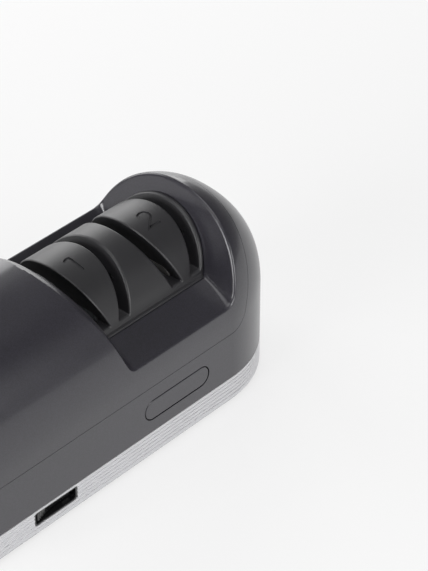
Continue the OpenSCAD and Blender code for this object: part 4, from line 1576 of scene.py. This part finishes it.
@dataclass
class SlotGuide(Assembly):
    """The guide in the saddle: deck, numbered blocks, rims beside the slots and steel leaves.

    The skirt reaches from the deck down through the hood's window. A stroke is a digit's line.
    Its section is given in shares of half its width and of its depth, with the cutter's height
    over the block in millimetres. Its tips are given by how far they reach and how wide they are,
    in shares of half its width.
    """

    saddle: Saddle
    deck_corner: float = 2.5
    deck_edge: float = 0.9
    skirt_in: float = 2.0
    skirt_rim: float = 3.5
    skirt_h: float = 6.0
    skirt_top: float = 0.4
    block_edge: float = 0.6
    block_low: float = 0.3
    slot_foot: float = 0.4
    slot_edge: float = 0.8
    foot_fillet: float = 0.5
    stroke: float = 1.2
    stroke_d: float = 0.6
    stroke_step: float = 0.35
    stroke_bend: float = 0.35
    stroke_tips: tuple[tuple[float, float], ...] = ((0.95, 0.3), (0.6, 0.8))
    stroke_section: tuple[tuple[float, float], ...] = (
        (-1.0, 1.2), (-1.0, 0.0), (-0.8, -0.7), (-0.4, -1.0),
        (0.4, -1.0), (0.8, -0.7), (1.0, 0.0), (1.0, 1.2),
    )
    digit_y: float = -4.6
    leaf_l: float = 27.4
    leaf_h: float = 9.4
    leaf_t: float = 0.4
    leaf_low: float = 3.3
    leaf_bow: float = 0.45
    leaf_flat: float = 0.35
    leaf_in: float = 0.55
    leaf_taper: float = 1.6
    leaf_taper_share: float = 0.14
    pocket_t: float = 1.4
    pocket_l: float = 28.0
    pocket_low: float = 3.0
    pocket_high: float = 13.0

    def solid(self, x: Array, y: Array, z: Array) -> Array:
        """Distance to the guide without its digits.

        Args:
            x: place along the body in millimetres.
            y: place across it, growing to the back.
            z: height.

        Returns:
            The distance, negative inside.
        """
        s = self.saddle
        v = y - s.body.axis_y
        a, b = s.ends(x, z, 0.0)
        sides = np.maximum(a, b)
        deck_z = s.floor_h + s.deck_t
        deck = meet(sides, np.abs(v) - s.deck_hd, self.deck_corner)
        deck = np.maximum(meet(deck, z - deck_z, self.deck_edge), s.floor_h - z)
        skirt = np.maximum(sides + self.skirt_in, np.abs(v) - (s.deck_hd - self.skirt_rim))
        ends = np.maximum(s.floor_h - self.skirt_h - z, z - deck_z + self.skirt_top)
        skirt = np.maximum(skirt, ends)
        arch = np.hypot(v, z - s.arch_h) - s.arch_r
        blocks = np.maximum(meet(arch, sides, self.block_edge), s.floor_h + self.block_low - z)
        c, k = math.cos(s.lean), math.sin(s.lean)
        for stage in (s.stage_x, s.fine_x):
            for side in (-1, 1):
                start = stage + side * (s.foot_w + s.slot_xw) / 2
                off = (x - start) * c - side * (z - s.slot_floor) * k
                slot = meet(np.abs(off) - s.slot_w / 2, s.slot_floor - z, self.slot_foot)
                blocks = meet(blocks, -slot, self.slot_edge)
        whole = join(blocks, np.minimum(deck, skirt), self.foot_fillet)
        for stage in (s.stage_x, s.fine_x):
            pocket = np.maximum(
                np.hypot(v, z - s.body.shaft_h) - s.wheel_r - s.wheel_clear,
                np.abs(x - stage) - s.wheel_t / 2 - s.wheel_clear,
            )
            whole = np.maximum(whole, -pocket)
        return whole

    def groove(self, points: Sequence[tuple[float, float]], stage: float) -> bpy.types.Mesh:
        """A digit's stroke as a solid whose underside follows the block's arch.

        Args:
            points: the stroke's middle line, in x and y about the block's middle.
            stage: place of the block.

        Returns:
            The mesh, in metres.
        """
        s = self.saddle
        line = [Vector(p) for p in points]
        fine = [line[0]]
        for a, b in zip(line, line[1:]):
            steps = max(1, round((b - a).length / self.stroke_step))
            fine += [a.lerp(b, (k + 1) / steps) for k in range(steps)]
        half = self.stroke / 2
        rings = []
        for k, p in enumerate(fine):
            back = (p - fine[k - 1]).normalized() if k else (fine[1] - p).normalized()
            ahead = (fine[k + 1] - p).normalized() if k + 1 < len(fine) else back
            mean = (back + ahead).normalized()
            across = Vector((-mean.y, mean.x)) / max(self.stroke_bend, mean.dot(ahead))
            rings.append((p, across, 1.0))
        first = (fine[0] - fine[1]).normalized() * half
        last = (fine[-1] - fine[-2]).normalized() * half
        start = [(fine[0] + first * out, rings[0][1], width) for out, width in self.stroke_tips]
        end = [(fine[-1] + last * out, rings[-1][1], width) for out, width in self.stroke_tips]
        rings = start + rings + end[::-1]
        verts, faces, n = [], [], len(self.stroke_section)
        for p, across, width in rings:
            for u, w in self.stroke_section:
                q = p + across * (u * half * width)
                top = s.arch_h + math.sqrt(s.arch_r**2 - q.y**2)
                lift = w if w > 0 else w * self.stroke_d
                verts.append(((stage + q.x) * MM, (s.body.axis_y + q.y) * MM, (top + lift) * MM))
        for r in range(len(rings) - 1):
            for k in range(n):
                j = (k + 1) % n
                faces.append((r * n + k, r * n + j, (r + 1) * n + j, (r + 1) * n + k))
        faces.append(tuple(range(n - 1, -1, -1)))
        faces.append(tuple((len(rings) - 1) * n + k for k in range(n)))
        mesh = bpy.data.meshes.new("stroke")
        mesh.from_pydata(verts, [], faces)
        outward(mesh)
        return mesh

    def digits(self) -> list[bpy.types.Mesh]:
        """Draws the two digits, one line each.

        Returns:
            The strokes of the 1 and the 2.
        """
        one = [(-3.1, 2.9), (-2.5, 3.4), (-0.8, 3.8), (-0.2, 3.7), (0.0, 3.3), (0.0, -4.6)]
        bowl_r, bowl_y, foot_y = 2.7, 1.75, -4.4
        bowl = [math.radians(a) for a in range(165, -50, -15)]
        two = [(bowl_r * math.cos(a), bowl_y + bowl_r * math.sin(a)) for a in bowl]
        two += [(-2.9, foot_y), (3.1, foot_y)]
        return [
            self.groove([(x, y + self.digit_y) for x, y in line], stage)
            for line, stage in ((one, self.saddle.stage_x), (two, self.saddle.fine_x))
        ]

    def seats(self) -> list[tuple[float, int]]:
        """Finds the slots.

        Returns:
            Middle of each slot at its floor, and the side of the wheel that it is on.
        """
        s = self.saddle
        off = (s.foot_w + s.slot_xw) / 2
        return [(stage + side * off, side) for stage in (s.stage_x, s.fine_x) for side in (-1, 1)]

    def leaf_pockets(self) -> list[bpy.types.Mesh]:
        """Makes the pockets for the steel leaves in the outer wall of each slot.

        Returns:
            The four pockets.
        """
        s, out = self.saddle, []
        half_l, half_t = self.pocket_l / 2, self.pocket_t / 2
        for x, side in self.seats():
            near, far = sorted((side * (s.slot_w / 2 - half_t), side * (s.slot_w / 2 + half_t)))
            low, high = (near, -half_l, self.pocket_low), (far, half_l, self.pocket_high)
            pocket = box(low, high)
            place = Vector((x, s.body.axis_y, s.slot_floor)) * MM
            pocket.transform(Matrix.Translation(place) @ Matrix.Rotation(side * s.lean, 4, "Y"))
            out.append(pocket)
        return out

    def leaves(self, recipe: Scatter) -> bpy.types.Object:
        """Bows one steel leaf and puts it beside each slot.

        Args:
            recipe: the scatter tree.

        Returns:
            The four leaves as one plain mesh.
        """
        s = self.saddle
        long, tall = 28, 8
        work = bmesh.new()
        rows = []
        # u runs from -1 to 1 along the leaf and v from -1 to 1 up it.
        for i in range(long + 1):
            u = 2 * i / long - 1
            rows.append([])
            for j in range(tall + 1):
                v = 2 * j / tall - 1
                end = max(0.0, abs(u) - 1 + self.leaf_taper_share) / self.leaf_taper_share
                bow = self.leaf_bow * math.cos(u * math.pi / 2) * (1 - self.leaf_flat * v * v)
                x = s.slot_w / 2 + self.leaf_in - bow
                half_h = self.leaf_h / 2 - self.leaf_taper * end * abs(u)
                z = self.leaf_low + self.leaf_h / 2 + v * half_h
                rows[-1].append(work.verts.new((x * MM, u * self.leaf_l / 2 * MM, z * MM)))
        for a, b in zip(rows, rows[1:]):
            for j in range(tall):
                work.faces.new((a[j], b[j], b[j + 1], a[j + 1]))
        mesh = bpy.data.meshes.new("leaf")
        work.to_mesh(mesh)
        work.free()
        leaf = stand("leaf", mesh)
        wall = leaf.modifiers.new("wall", "SOLIDIFY")
        wall.thickness, wall.offset = self.leaf_t * MM, 0.0
        freeze(leaf)
        outward(leaf.data)
        spots = [
            ((x, s.body.axis_y, s.slot_floor), (0.0, s.lean, 0.0 if side > 0 else math.pi))
            for x, side in self.seats()
        ]
        piece = marks("leaves", spots)
        recipe.cook(piece, SHEET, {"Thing": leaf, "Spin": 0.0, "Seed": 3})
        bpy.data.objects.remove(leaf)
        return crease(piece)

    def build(self, recipe: Scatter) -> None:
        """Casts the guide, engraves its digits, cuts the pockets and hangs the leaves.

        Args:
            recipe: the scatter tree.
        """
        s = self.saddle
        caster = Caster(step=0.42, share=0.45)
        top = s.arch_h + s.arch_r
        low = (s.left(top) - 1, s.body.axis_y - s.deck_hd, s.floor_h - self.skirt_h)
        high = (s.right(top) + 1, s.body.axis_y + s.deck_hd, top)
        guide = caster.cast("guide", self.solid, low, high)
        carve(guide, self.digits() + self.leaf_pockets())
        caster.smooth(guide, self.solid)
        self.hand_over(guide, GUIDE, "guide", ["slot_guide", "guide_blocks"])
        self.hand_over(self.leaves(recipe), SHEET, "sheet_steel", ["blade_guides"])


# ---- Base, switch and what sits inside -------------------------------------------------------


@dataclass
class Base(Assembly):
    """Silver band, base plate, rubber feet and the screws that close the housings."""

    body: Body
    band_t: float = 2.0
    ribs: int = 6
    rib_depth: float = 0.35
    rib_points: int = 10
    foot_x: float = 86.0
    foot_y: float = 24.0
    foot_profile: tuple[tuple[float, float], ...] = (
        (0.0, 0.35), (3.0, 0.35), (3.5, 0.1), (4.0, 0.0), (5.5, 0.0), (6.1, 0.15), (6.55, 0.5),
        (6.8, 1.1), (6.8, 2.3), (0.0, 2.3),
    )
    sides: int = 56
    screw_spots: tuple[tuple[float, float], ...] = (
        (-72, -35), (72, -35), (-72, 30), (72, 30), (-104, -15), (104, -15), (-104, 15), (104, 15),
    )

    def outline(self, steps: int = 48) -> list[tuple[float, float, float]]:
        """The plan's outline, anticlockwise from above.

        Args:
            steps: edges around a corner.

        Returns:
            Its points in metres.
        """
        b, out = self.body, []
        corners = (
            (1, -1, b.front_d, b.front_r), (1, 1, b.back_d, b.back_r),
            (-1, 1, b.back_d, b.back_r), (-1, -1, b.front_d, b.front_r),
        )
        for quarter, (sx, sy, d, r) in enumerate(corners):
            for k in range(steps + 1):
                turn = math.pi / 2 * (quarter - 1 + k / steps)
                x = sx * (b.half - r) + r * math.cos(turn)
                y = b.axis_y + sy * (d - r) + r * math.sin(turn)
                out.append((x * MM, y * MM, 0.0))
        return out

    def band(self) -> bpy.types.Object:
        """Sweeps the ribbed band around the plan and cuts the switch's opening.

        Returns:
            The band.
        """
        b = self.body
        path = self.outline()
        mesh = bpy.data.meshes.new("band")
        mesh.from_pydata(path, [(k, (k + 1) % len(path)) for k in range(len(path))], [])
        band = stand("band", mesh)
        values = {
            "Ribs": float(self.ribs),
            "Rib Depth": self.rib_depth * MM,
            "Wall": self.band_t * MM,
            "Low": b.edge_h * MM,
            "High": b.band_top * MM,
            "Points": self.ribs * self.rib_points + 3,
        }
        RibbedSweep().cook(band, BAND, values)
        carve(band, [opening("switch_bezel")])
        return crease(band, degrees=40)

    def feet(self, recipe: Scatter) -> bpy.types.Object:
        """Turns one foot with a hollow underside and puts it on the four places.

        Args:
            recipe: the scatter tree.

        Returns:
            The four feet as one plain mesh.
        """
        foot = stand("foot", turned(self.foot_profile, self.sides))
        y = self.body.axis_y
        spots = [
            ((sx * self.foot_x, y + sy * self.foot_y, 0.0), (0.0, 0.0, 0.0))
            for sx in (-1, 1) for sy in (-1, 1)
        ]
        piece = marks("feet", spots)
        recipe.cook(piece, RUBBER, {"Thing": foot, "Spin": 1.0, "Seed": 5})
        bpy.data.objects.remove(foot)
        return crease(piece, degrees=50)

    def build(self, recipe: Scatter) -> None:
        """Builds the band, the feet and the screws and dresses the base plate.

        Args:
            recipe: the scatter tree.
        """
        b = self.body
        self.hand_over(self.band(), BAND, "band", ["trim_band"])
        self.hand_over(self.feet(recipe), RUBBER, "rubber", ["rubber_feet"])
        screw = Screw()
        z = b.foot_stand + screw.head_h
        spots = [((x, b.axis_y + y, z), (0.0, 0.0, 0.0)) for x, y in self.screw_spots]
        screws = screw.scatter("closing_screws", recipe, spots)
        self.hand_over(screws, ZINC, "zinc_steel", ["base_screws"])
        self.dress({"base_plate": BLACK})


@dataclass
class Switch(Assembly):
    """Rocker switch in the band: bezel, rocker, contact block and terminals.

    The rocker tips about its pin. Its two faces meet in a kink at the depth sink below the
    bezel's face, and reach is how far its round ends stand from the pin.
    """

    body: Body
    x: float = -32.0
    z: float = 9.0
    length: float = 24.0
    width: float = 7.0
    wall: float = 0.9
    corner: float = 1.4
    pivot: float = 5.5
    reach: float = 10.75
    sink: float = 2.88
    tip: float = math.radians(7)
    pin_r: float = 0.9
    pin_l: float = 6.7
    pin_gap: float = 0.25
    lip_edge: float = 0.35
    hole_edge: float = 0.3
    hole_corner_less: float = 0.7
    side_gap: float = 0.3
    side_edge: float = 0.45
    end_edge: float = 0.5
    kink: float = 1.5
    back_half: float = 3.0
    back_v: float = 3.2
    back_slope: tuple[float, float] = (0.329, 0.944)
    grips: int = 3
    grip_x: float = 6.0
    grip_pitch: float = 1.5
    grip_r: float = 0.4
    grip_end: float = 0.6
    grip_edge: float = 0.1
    cast_room: float = 1.0

    def frame_of(self, length: float, width: float, corner: float, x: Array, z: Array) -> Array:
        """Distance to a rounded oblong in the side view.

        Args:
            length: its length in millimetres.
            width: its height.
            corner: radius of its corners.
            x: place along the body.
            z: height.

        Returns:
            The distance, negative inside.
        """
        p = np.abs(x - self.x) - (length / 2 - corner)
        q = np.abs(z - self.z) - (width / 2 - corner)
        return np.hypot(np.maximum(p, 0), np.maximum(q, 0)) + np.minimum(np.maximum(p, q), 0) - corner

    def bezel(self, x: Array, y: Array, z: Array) -> Array:
        """Distance to the bezel.

        Args:
            x: place along the body in millimetres.
            y: place across it, growing to the back.
            z: height.

        Returns:
            The distance, negative inside.
        """
        low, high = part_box("switch_bezel")
        inner = 2 * self.wall
        rim = self.frame_of(self.length, self.width, self.corner, x, z)
        corner = self.corner - self.hole_corner_less
        hole = self.frame_of(self.length - inner, self.width - inner, corner, x, z)
        solid = meet(meet(rim, low.y / MM - y, self.lip_edge), -hole, self.hole_edge)
        solid = np.maximum(solid, y - high.y / MM)
        pin = np.hypot(x - self.x, y - self.body.front_y - self.pivot) - self.pin_r - self.pin_gap
        return np.maximum(solid, -pin)

    def rocker(self, x: Array, y: Array, z: Array) -> Array:
        """Distance to the rocker with its grip grooves and pins, tipped as at rest.

        Args:
            x: place along the body in millimetres.
            y: place across it, growing to the back.
            z: height.

        Returns:
            The distance, negative inside.
        """
        dx, dy = x - self.x, y - self.body.front_y - self.pivot
        c, s = math.cos(self.tip), math.sin(self.tip)
        u, v = dx * c + dy * s, dy * c - dx * s
        w = np.abs(z - self.z)
        face = self.sink - self.pivot - (np.hypot(u, self.kink) - self.kink) * math.tan(self.tip)
        half = self.width / 2 - self.wall - self.side_gap
        ends = meet((face - v) * c, np.hypot(u, v) - self.reach, self.end_edge)
        solid = meet(ends, w - half, self.side_edge)
        along, down = self.back_slope
        behind = v - self.back_v
        slope = (np.abs(u) - self.back_half) * along + behind * down
        solid = np.maximum(solid, np.maximum(slope, behind))
        for k in range(self.grips):
            groove = np.hypot(np.abs(u) - self.grip_x - self.grip_pitch * k, v - face) - self.grip_r
            groove = np.maximum(groove, w - half + self.grip_end)
            solid = meet(solid, -groove, self.grip_edge)
        pin = np.maximum(np.hypot(u, v) - self.pin_r, w - self.pin_l / 2)
        return np.minimum(solid, pin)

    def build(self) -> None:
        """Casts bezel and rocker and dresses the rest of the switch."""
        caster = Caster(step=0.3, share=0.6)
        room = Vector.Fill(3, self.cast_room)
        for name, solid, rider in (("bezel", self.bezel, "body"), ("rocker", self.rocker, "rocker")):
            low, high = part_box(f"switch_{name}")
            piece = caster.cast(name, solid, low / MM - room, high / MM + room)
            self.hand_over(piece, GLOSS, "black_plastic", [f"switch_{name}"], rider)
        self.dress({"switch_body": BLACK, "switch_terminals": BRASS})


@dataclass
class Motor(Assembly):
    """Motor with its armature and the bracket that holds it."""

    body: Body
    face_x: float = -38.0
    screw_y: float = 13.5

    def build(self, recipe: Scatter) -> None:
        """Dresses the motor and turns its screws.

        Args:
            recipe: the scatter tree.
        """
        y, z, turn = self.body.axis_y, self.body.shaft_h, (0.0, -math.pi / 2, 0.0)
        spots = [((self.face_x, y + side * self.screw_y, z), turn) for side in (-1, 1)]
        screws = Screw(length=3.6).scatter("mounting_screws", recipe, spots)
        self.hand_over(screws, ZINC, "zinc_steel", ["motor_screws"])
        self.dress({
            "motor_can": ZINC, "motor_end_cap": IVORY, "motor_magnets": FERRITE,
            "motor_brushes": CARBON, "motor_terminals": BRASS, "motor_bracket": SHEET,
            "armature_core": CORE, "armature_windings": COPPER, "commutator": COPPER,
            "motor_shaft": GROUND,
        })


@dataclass
class Wheels(Assembly):
    """Shaft with the two grinding wheels."""

    def build(self) -> None:
        """Dresses the shaft and what turns with it."""
        self.dress({
            "shaft_coupling": ALLOY, "wheel_shaft": GROUND, "coarse_wheel": COARSE, "fine_wheel": FINE,
            "wheel_hubs": ALLOY, "shaft_spacer": ALLOY, "shaft_nut": ZINC,
        })


@dataclass
class Supports(Assembly):
    """Walls that carry the shaft's bushes, with their screws."""

    body: Body
    seat_h: float = 6.0
    spots: tuple[tuple[float, float], ...] = ((-31, 13), (11, 24), (79, 14))

    def build(self, recipe: Scatter) -> None:
        """Turns the bracket screws and dresses the walls.

        Args:
            recipe: the scatter tree.
        """
        y, turn = self.body.axis_y, (math.pi, 0.0, 0.0)
        spots = [
            ((x, y + side * off, self.seat_h), turn) for x, off in self.spots for side in (-1, 1)
        ]
        screws = Screw(length=4.3).scatter("support_screws", recipe, spots)
        self.hand_over(screws, ZINC, "zinc_steel", ["bracket_screws"])
        self.dress({"inner_bearing_wall": GREY, "outer_bearing_bracket": GREY, "shaft_bushes": BRONZE})


@dataclass
class Electrics(Assembly):
    """Rectifier board and the cord's grommet."""

    bore: float = 3.5
    sleeve: float = 5.9
    collar: float = 7.9
    collar_t: float = 2.0
    length: float = 5.6
    sides: int = 56

    def grommet(self) -> bpy.types.Object:
        """Turns the grommet with a rounded lip, in the back wall.

        Returns:
            The grommet.
        """
        b, s, c, t, n = self.bore, self.sleeve, self.collar, self.collar_t, self.length
        profile = [
            (b, 0.4), (b + 0.4, 0.0), (c - 0.5, 0.0), (c - 0.12, 0.15), (c, 0.5), (c, t), (s, t),
            (s, n - 0.9), (s - 0.2, n - 0.35), (s - 0.7, n - 0.05), (s - 1.1, n), (b + 0.6, n - 0.12),
            (b + 0.15, n - 0.5), (b, n - 1.0),
        ]
        low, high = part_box("cord_grommet")
        mid = (low + high) / 2
        mesh = turned(profile, self.sides)
        place = Matrix.Translation((mid.x, low.y, mid.z))
        mesh.transform(place @ Matrix.Rotation(-math.pi / 2, 4, "X"))
        return crease(stand("grommet", mesh), degrees=45)

    def build(self) -> None:
        """Turns the grommet and dresses the board."""
        self.hand_over(self.grommet(), RUBBER, "rubber", ["cord_grommet"])
        self.dress({"rectifier_board": BOARD, "board_parts": PARTS})


# ---- Camera, light and floor -----------------------------------------------------------------


@dataclass(frozen=True)
class Lamp:
    """A square area lamp that points at the object, in metres and watts."""

    name: str
    place: tuple[float, float, float]
    size: float
    power: float

    def light(self, aim: Vector) -> None:
        """Hangs the lamp.

        Args:
            aim: what it points at.
        """
        data = bpy.data.lights.new(self.name, "AREA")
        data.size, data.energy = self.size, self.power
        lamp = bpy.data.objects.new(self.name, data)
        lamp.location = self.place
        lamp.rotation_mode = "QUATERNION"
        lamp.rotation_quaternion = (aim - Vector(self.place)).to_track_quat("-Z", "Y")
        bpy.context.scene.collection.objects.link(lamp)


@dataclass
class Studio:
    """Camera at the photograph's angle, soft light and a white floor.

    The anchor is a point on the lower edge of the body's front, and anchor_px is its place in the
    photograph. Anchor and distance are in millimetres, the aim and the floor in metres. The floor
    shows floor_glow of white under the object, and all of it from the distance far on. A mirror
    sees mirror_share of the white world.
    """

    turn: float = math.radians(47.4)
    tilt: float = math.radians(36.6)
    focal_px: float = 2400.0
    frame_px: tuple[int, int] = (428, 571)
    anchor_px: tuple[float, float] = (150.0, 456.0)
    anchor: tuple[float, float, float] = (22.0, -43.5, 1.5)
    distance: float = 1000.0
    sensor: float = 36.0
    clip_end: float = 20.0
    world_soft: float = 0.05
    world_white: float = 1.0
    mirror_share: float = 0.1
    aim: tuple[float, float, float] = (0.0, 0.0, 0.04)
    lamps: tuple[Lamp, ...] = (
        Lamp("top", (0.0, 0.0, 0.95), 0.6, 1.8),
        Lamp("left", (-0.85, 0.0, 0.35), 0.5, 5.2),
        Lamp("front", (0.0, -0.9, 0.5), 0.6, 5.0),
        Lamp("rim", (0.60, 0.60, 0.30), 0.5, 2.0),
        Lamp("back", (0.0, 0.9, 0.5), 0.6, 3.6),
        Lamp("low_back", (-0.72, 0.10, 0.30), 0.4, 0.8),
    )
    floor_half: float = 4.0
    floor_grey: float = 0.9
    floor_rough: float = 0.7
    floor_glow: float = 0.72
    near: float = 0.25
    far: float = 0.9

    def camera(self) -> None:
        """Sets the camera where the photograph was taken."""
        a, e = self.turn, self.tilt
        right = Vector((math.cos(a), -math.sin(a), 0))
        up = Vector((math.sin(a) * math.sin(e), math.cos(a) * math.sin(e), math.cos(e)))
        ahead = Vector((math.sin(a) * math.cos(e), math.cos(a) * math.cos(e), -math.sin(e)))
        px = (self.anchor_px[0] - self.frame_px[0] / 2) / self.focal_px
        py = (self.anchor_px[1] - self.frame_px[1] / 2) / self.focal_px
        spot = Vector(self.anchor) - self.distance * (ahead + px * right - py * up)
        data = bpy.data.cameras.new("camera")
        data.sensor_fit = "AUTO"
        data.sensor_width = self.sensor
        data.lens = self.focal_px / self.frame_px[1] * self.sensor
        data.clip_end = self.clip_end
        camera = bpy.data.objects.new("camera", data)
        turn = Matrix((right, up, -ahead)).transposed().to_4x4()
        camera.matrix_world = Matrix.Translation(spot * MM) @ turn
        bpy.context.scene.collection.objects.link(camera)
        bpy.context.scene.camera = camera

    def lights(self) -> None:
        """Sets the lamps and the world."""
        scene = bpy.context.scene
        scene.view_settings.view_transform = "Standard"
        world = bpy.data.worlds.new("world")
        scene.world = world
        world.use_nodes = True
        net = Net(world.node_tree)
        tree = world.node_tree
        camera, mirror = self.rays(net)
        soft, white = (
            net.node("ShaderNodeBackground", inputs={"Color": (1, 1, 1, 1), "Strength": strength})
            for strength in (self.world_soft, self.world_white)
        )
        seen = (camera + mirror * self.mirror_share).least(1.0)
        mixed = net.node("ShaderNodeMixShader", inputs={0: seen, 1: soft, 2: white})
        tree.links.new(mixed.socket, tree.nodes["World Output"].inputs["Surface"])
        for lamp in self.lamps:
            lamp.light(Vector(self.aim))

    def rays(self, net: Net) -> tuple[Wire, Wire]:
        """Tells the kinds of rays apart.

        Args:
            net: a node tree for shaders.

        Returns:
            Whether a ray comes from the camera, and whether from a mirror or through glass.
        """
        camera = net.node("ShaderNodeLightPath", output="Is Camera Ray")
        ways = camera.socket.node.outputs
        return camera, Wire(net, ways["Is Glossy Ray"]) + Wire(net, ways["Is Transmission Ray"])

    def floor(self) -> None:
        """Adds the white floor, which shows white to the camera and keeps the shadow."""
        mesh = bpy.data.meshes.new("floor")
        s = self.floor_half
        mesh.from_pydata([(-s, -s, 0), (s, -s, 0), (s, s, 0), (-s, s, 0)], [], [(0, 1, 2, 3)])
        floor = bpy.data.objects.new("floor", mesh)
        bpy.context.scene.collection.objects.link(floor)
        material = bpy.data.materials.new("white_floor")
        material.use_nodes = True
        net, tree = Net(material.node_tree), material.node_tree
        shader = tree.nodes["Principled BSDF"]
        shader.inputs["Base Color"].default_value = (*[self.floor_grey] * 3, 1)
        shader.inputs["Roughness"].default_value = self.floor_rough
        camera, mirror = self.rays(net)
        length = {"operation": "LENGTH"}
        away = net.node("ShaderNodeVectorMath", length, {0: net.place()}, output="Value")
        white = away.ramp(self.near, self.far) * (1 - self.floor_glow) + self.floor_glow
        glow = net.node("ShaderNodeEmission", inputs={"Color": (1, 1, 1, 1), "Strength": 1.0})
        mixed = net.node(
            "ShaderNodeMixShader",
            inputs={0: (camera + mirror).least(1.0) * white, 1: Wire(net, shader.outputs[0]), 2: glow},
        )
        tree.links.new(mixed.socket, tree.nodes["Material Output"].inputs["Surface"])
        mesh.materials.append(material)


def main() -> None:
    """Builds the pieces in order."""
    logging.basicConfig(level=logging.INFO, format="%(name)s: %(message)s")
    body = Body()
    saddle = Saddle(body)
    recipe = Scatter()
    Housings(body, saddle).build()
    SlotGuide(saddle).build(recipe)
    Base(body).build(recipe)
    Switch(body).build()
    Motor(body).build(recipe)
    Wheels().build()
    Supports(body).build(recipe)
    Electrics().build()
    studio = Studio()
    studio.camera()
    studio.lights()
    studio.floor()


if __name__ == "__main__":
    main()
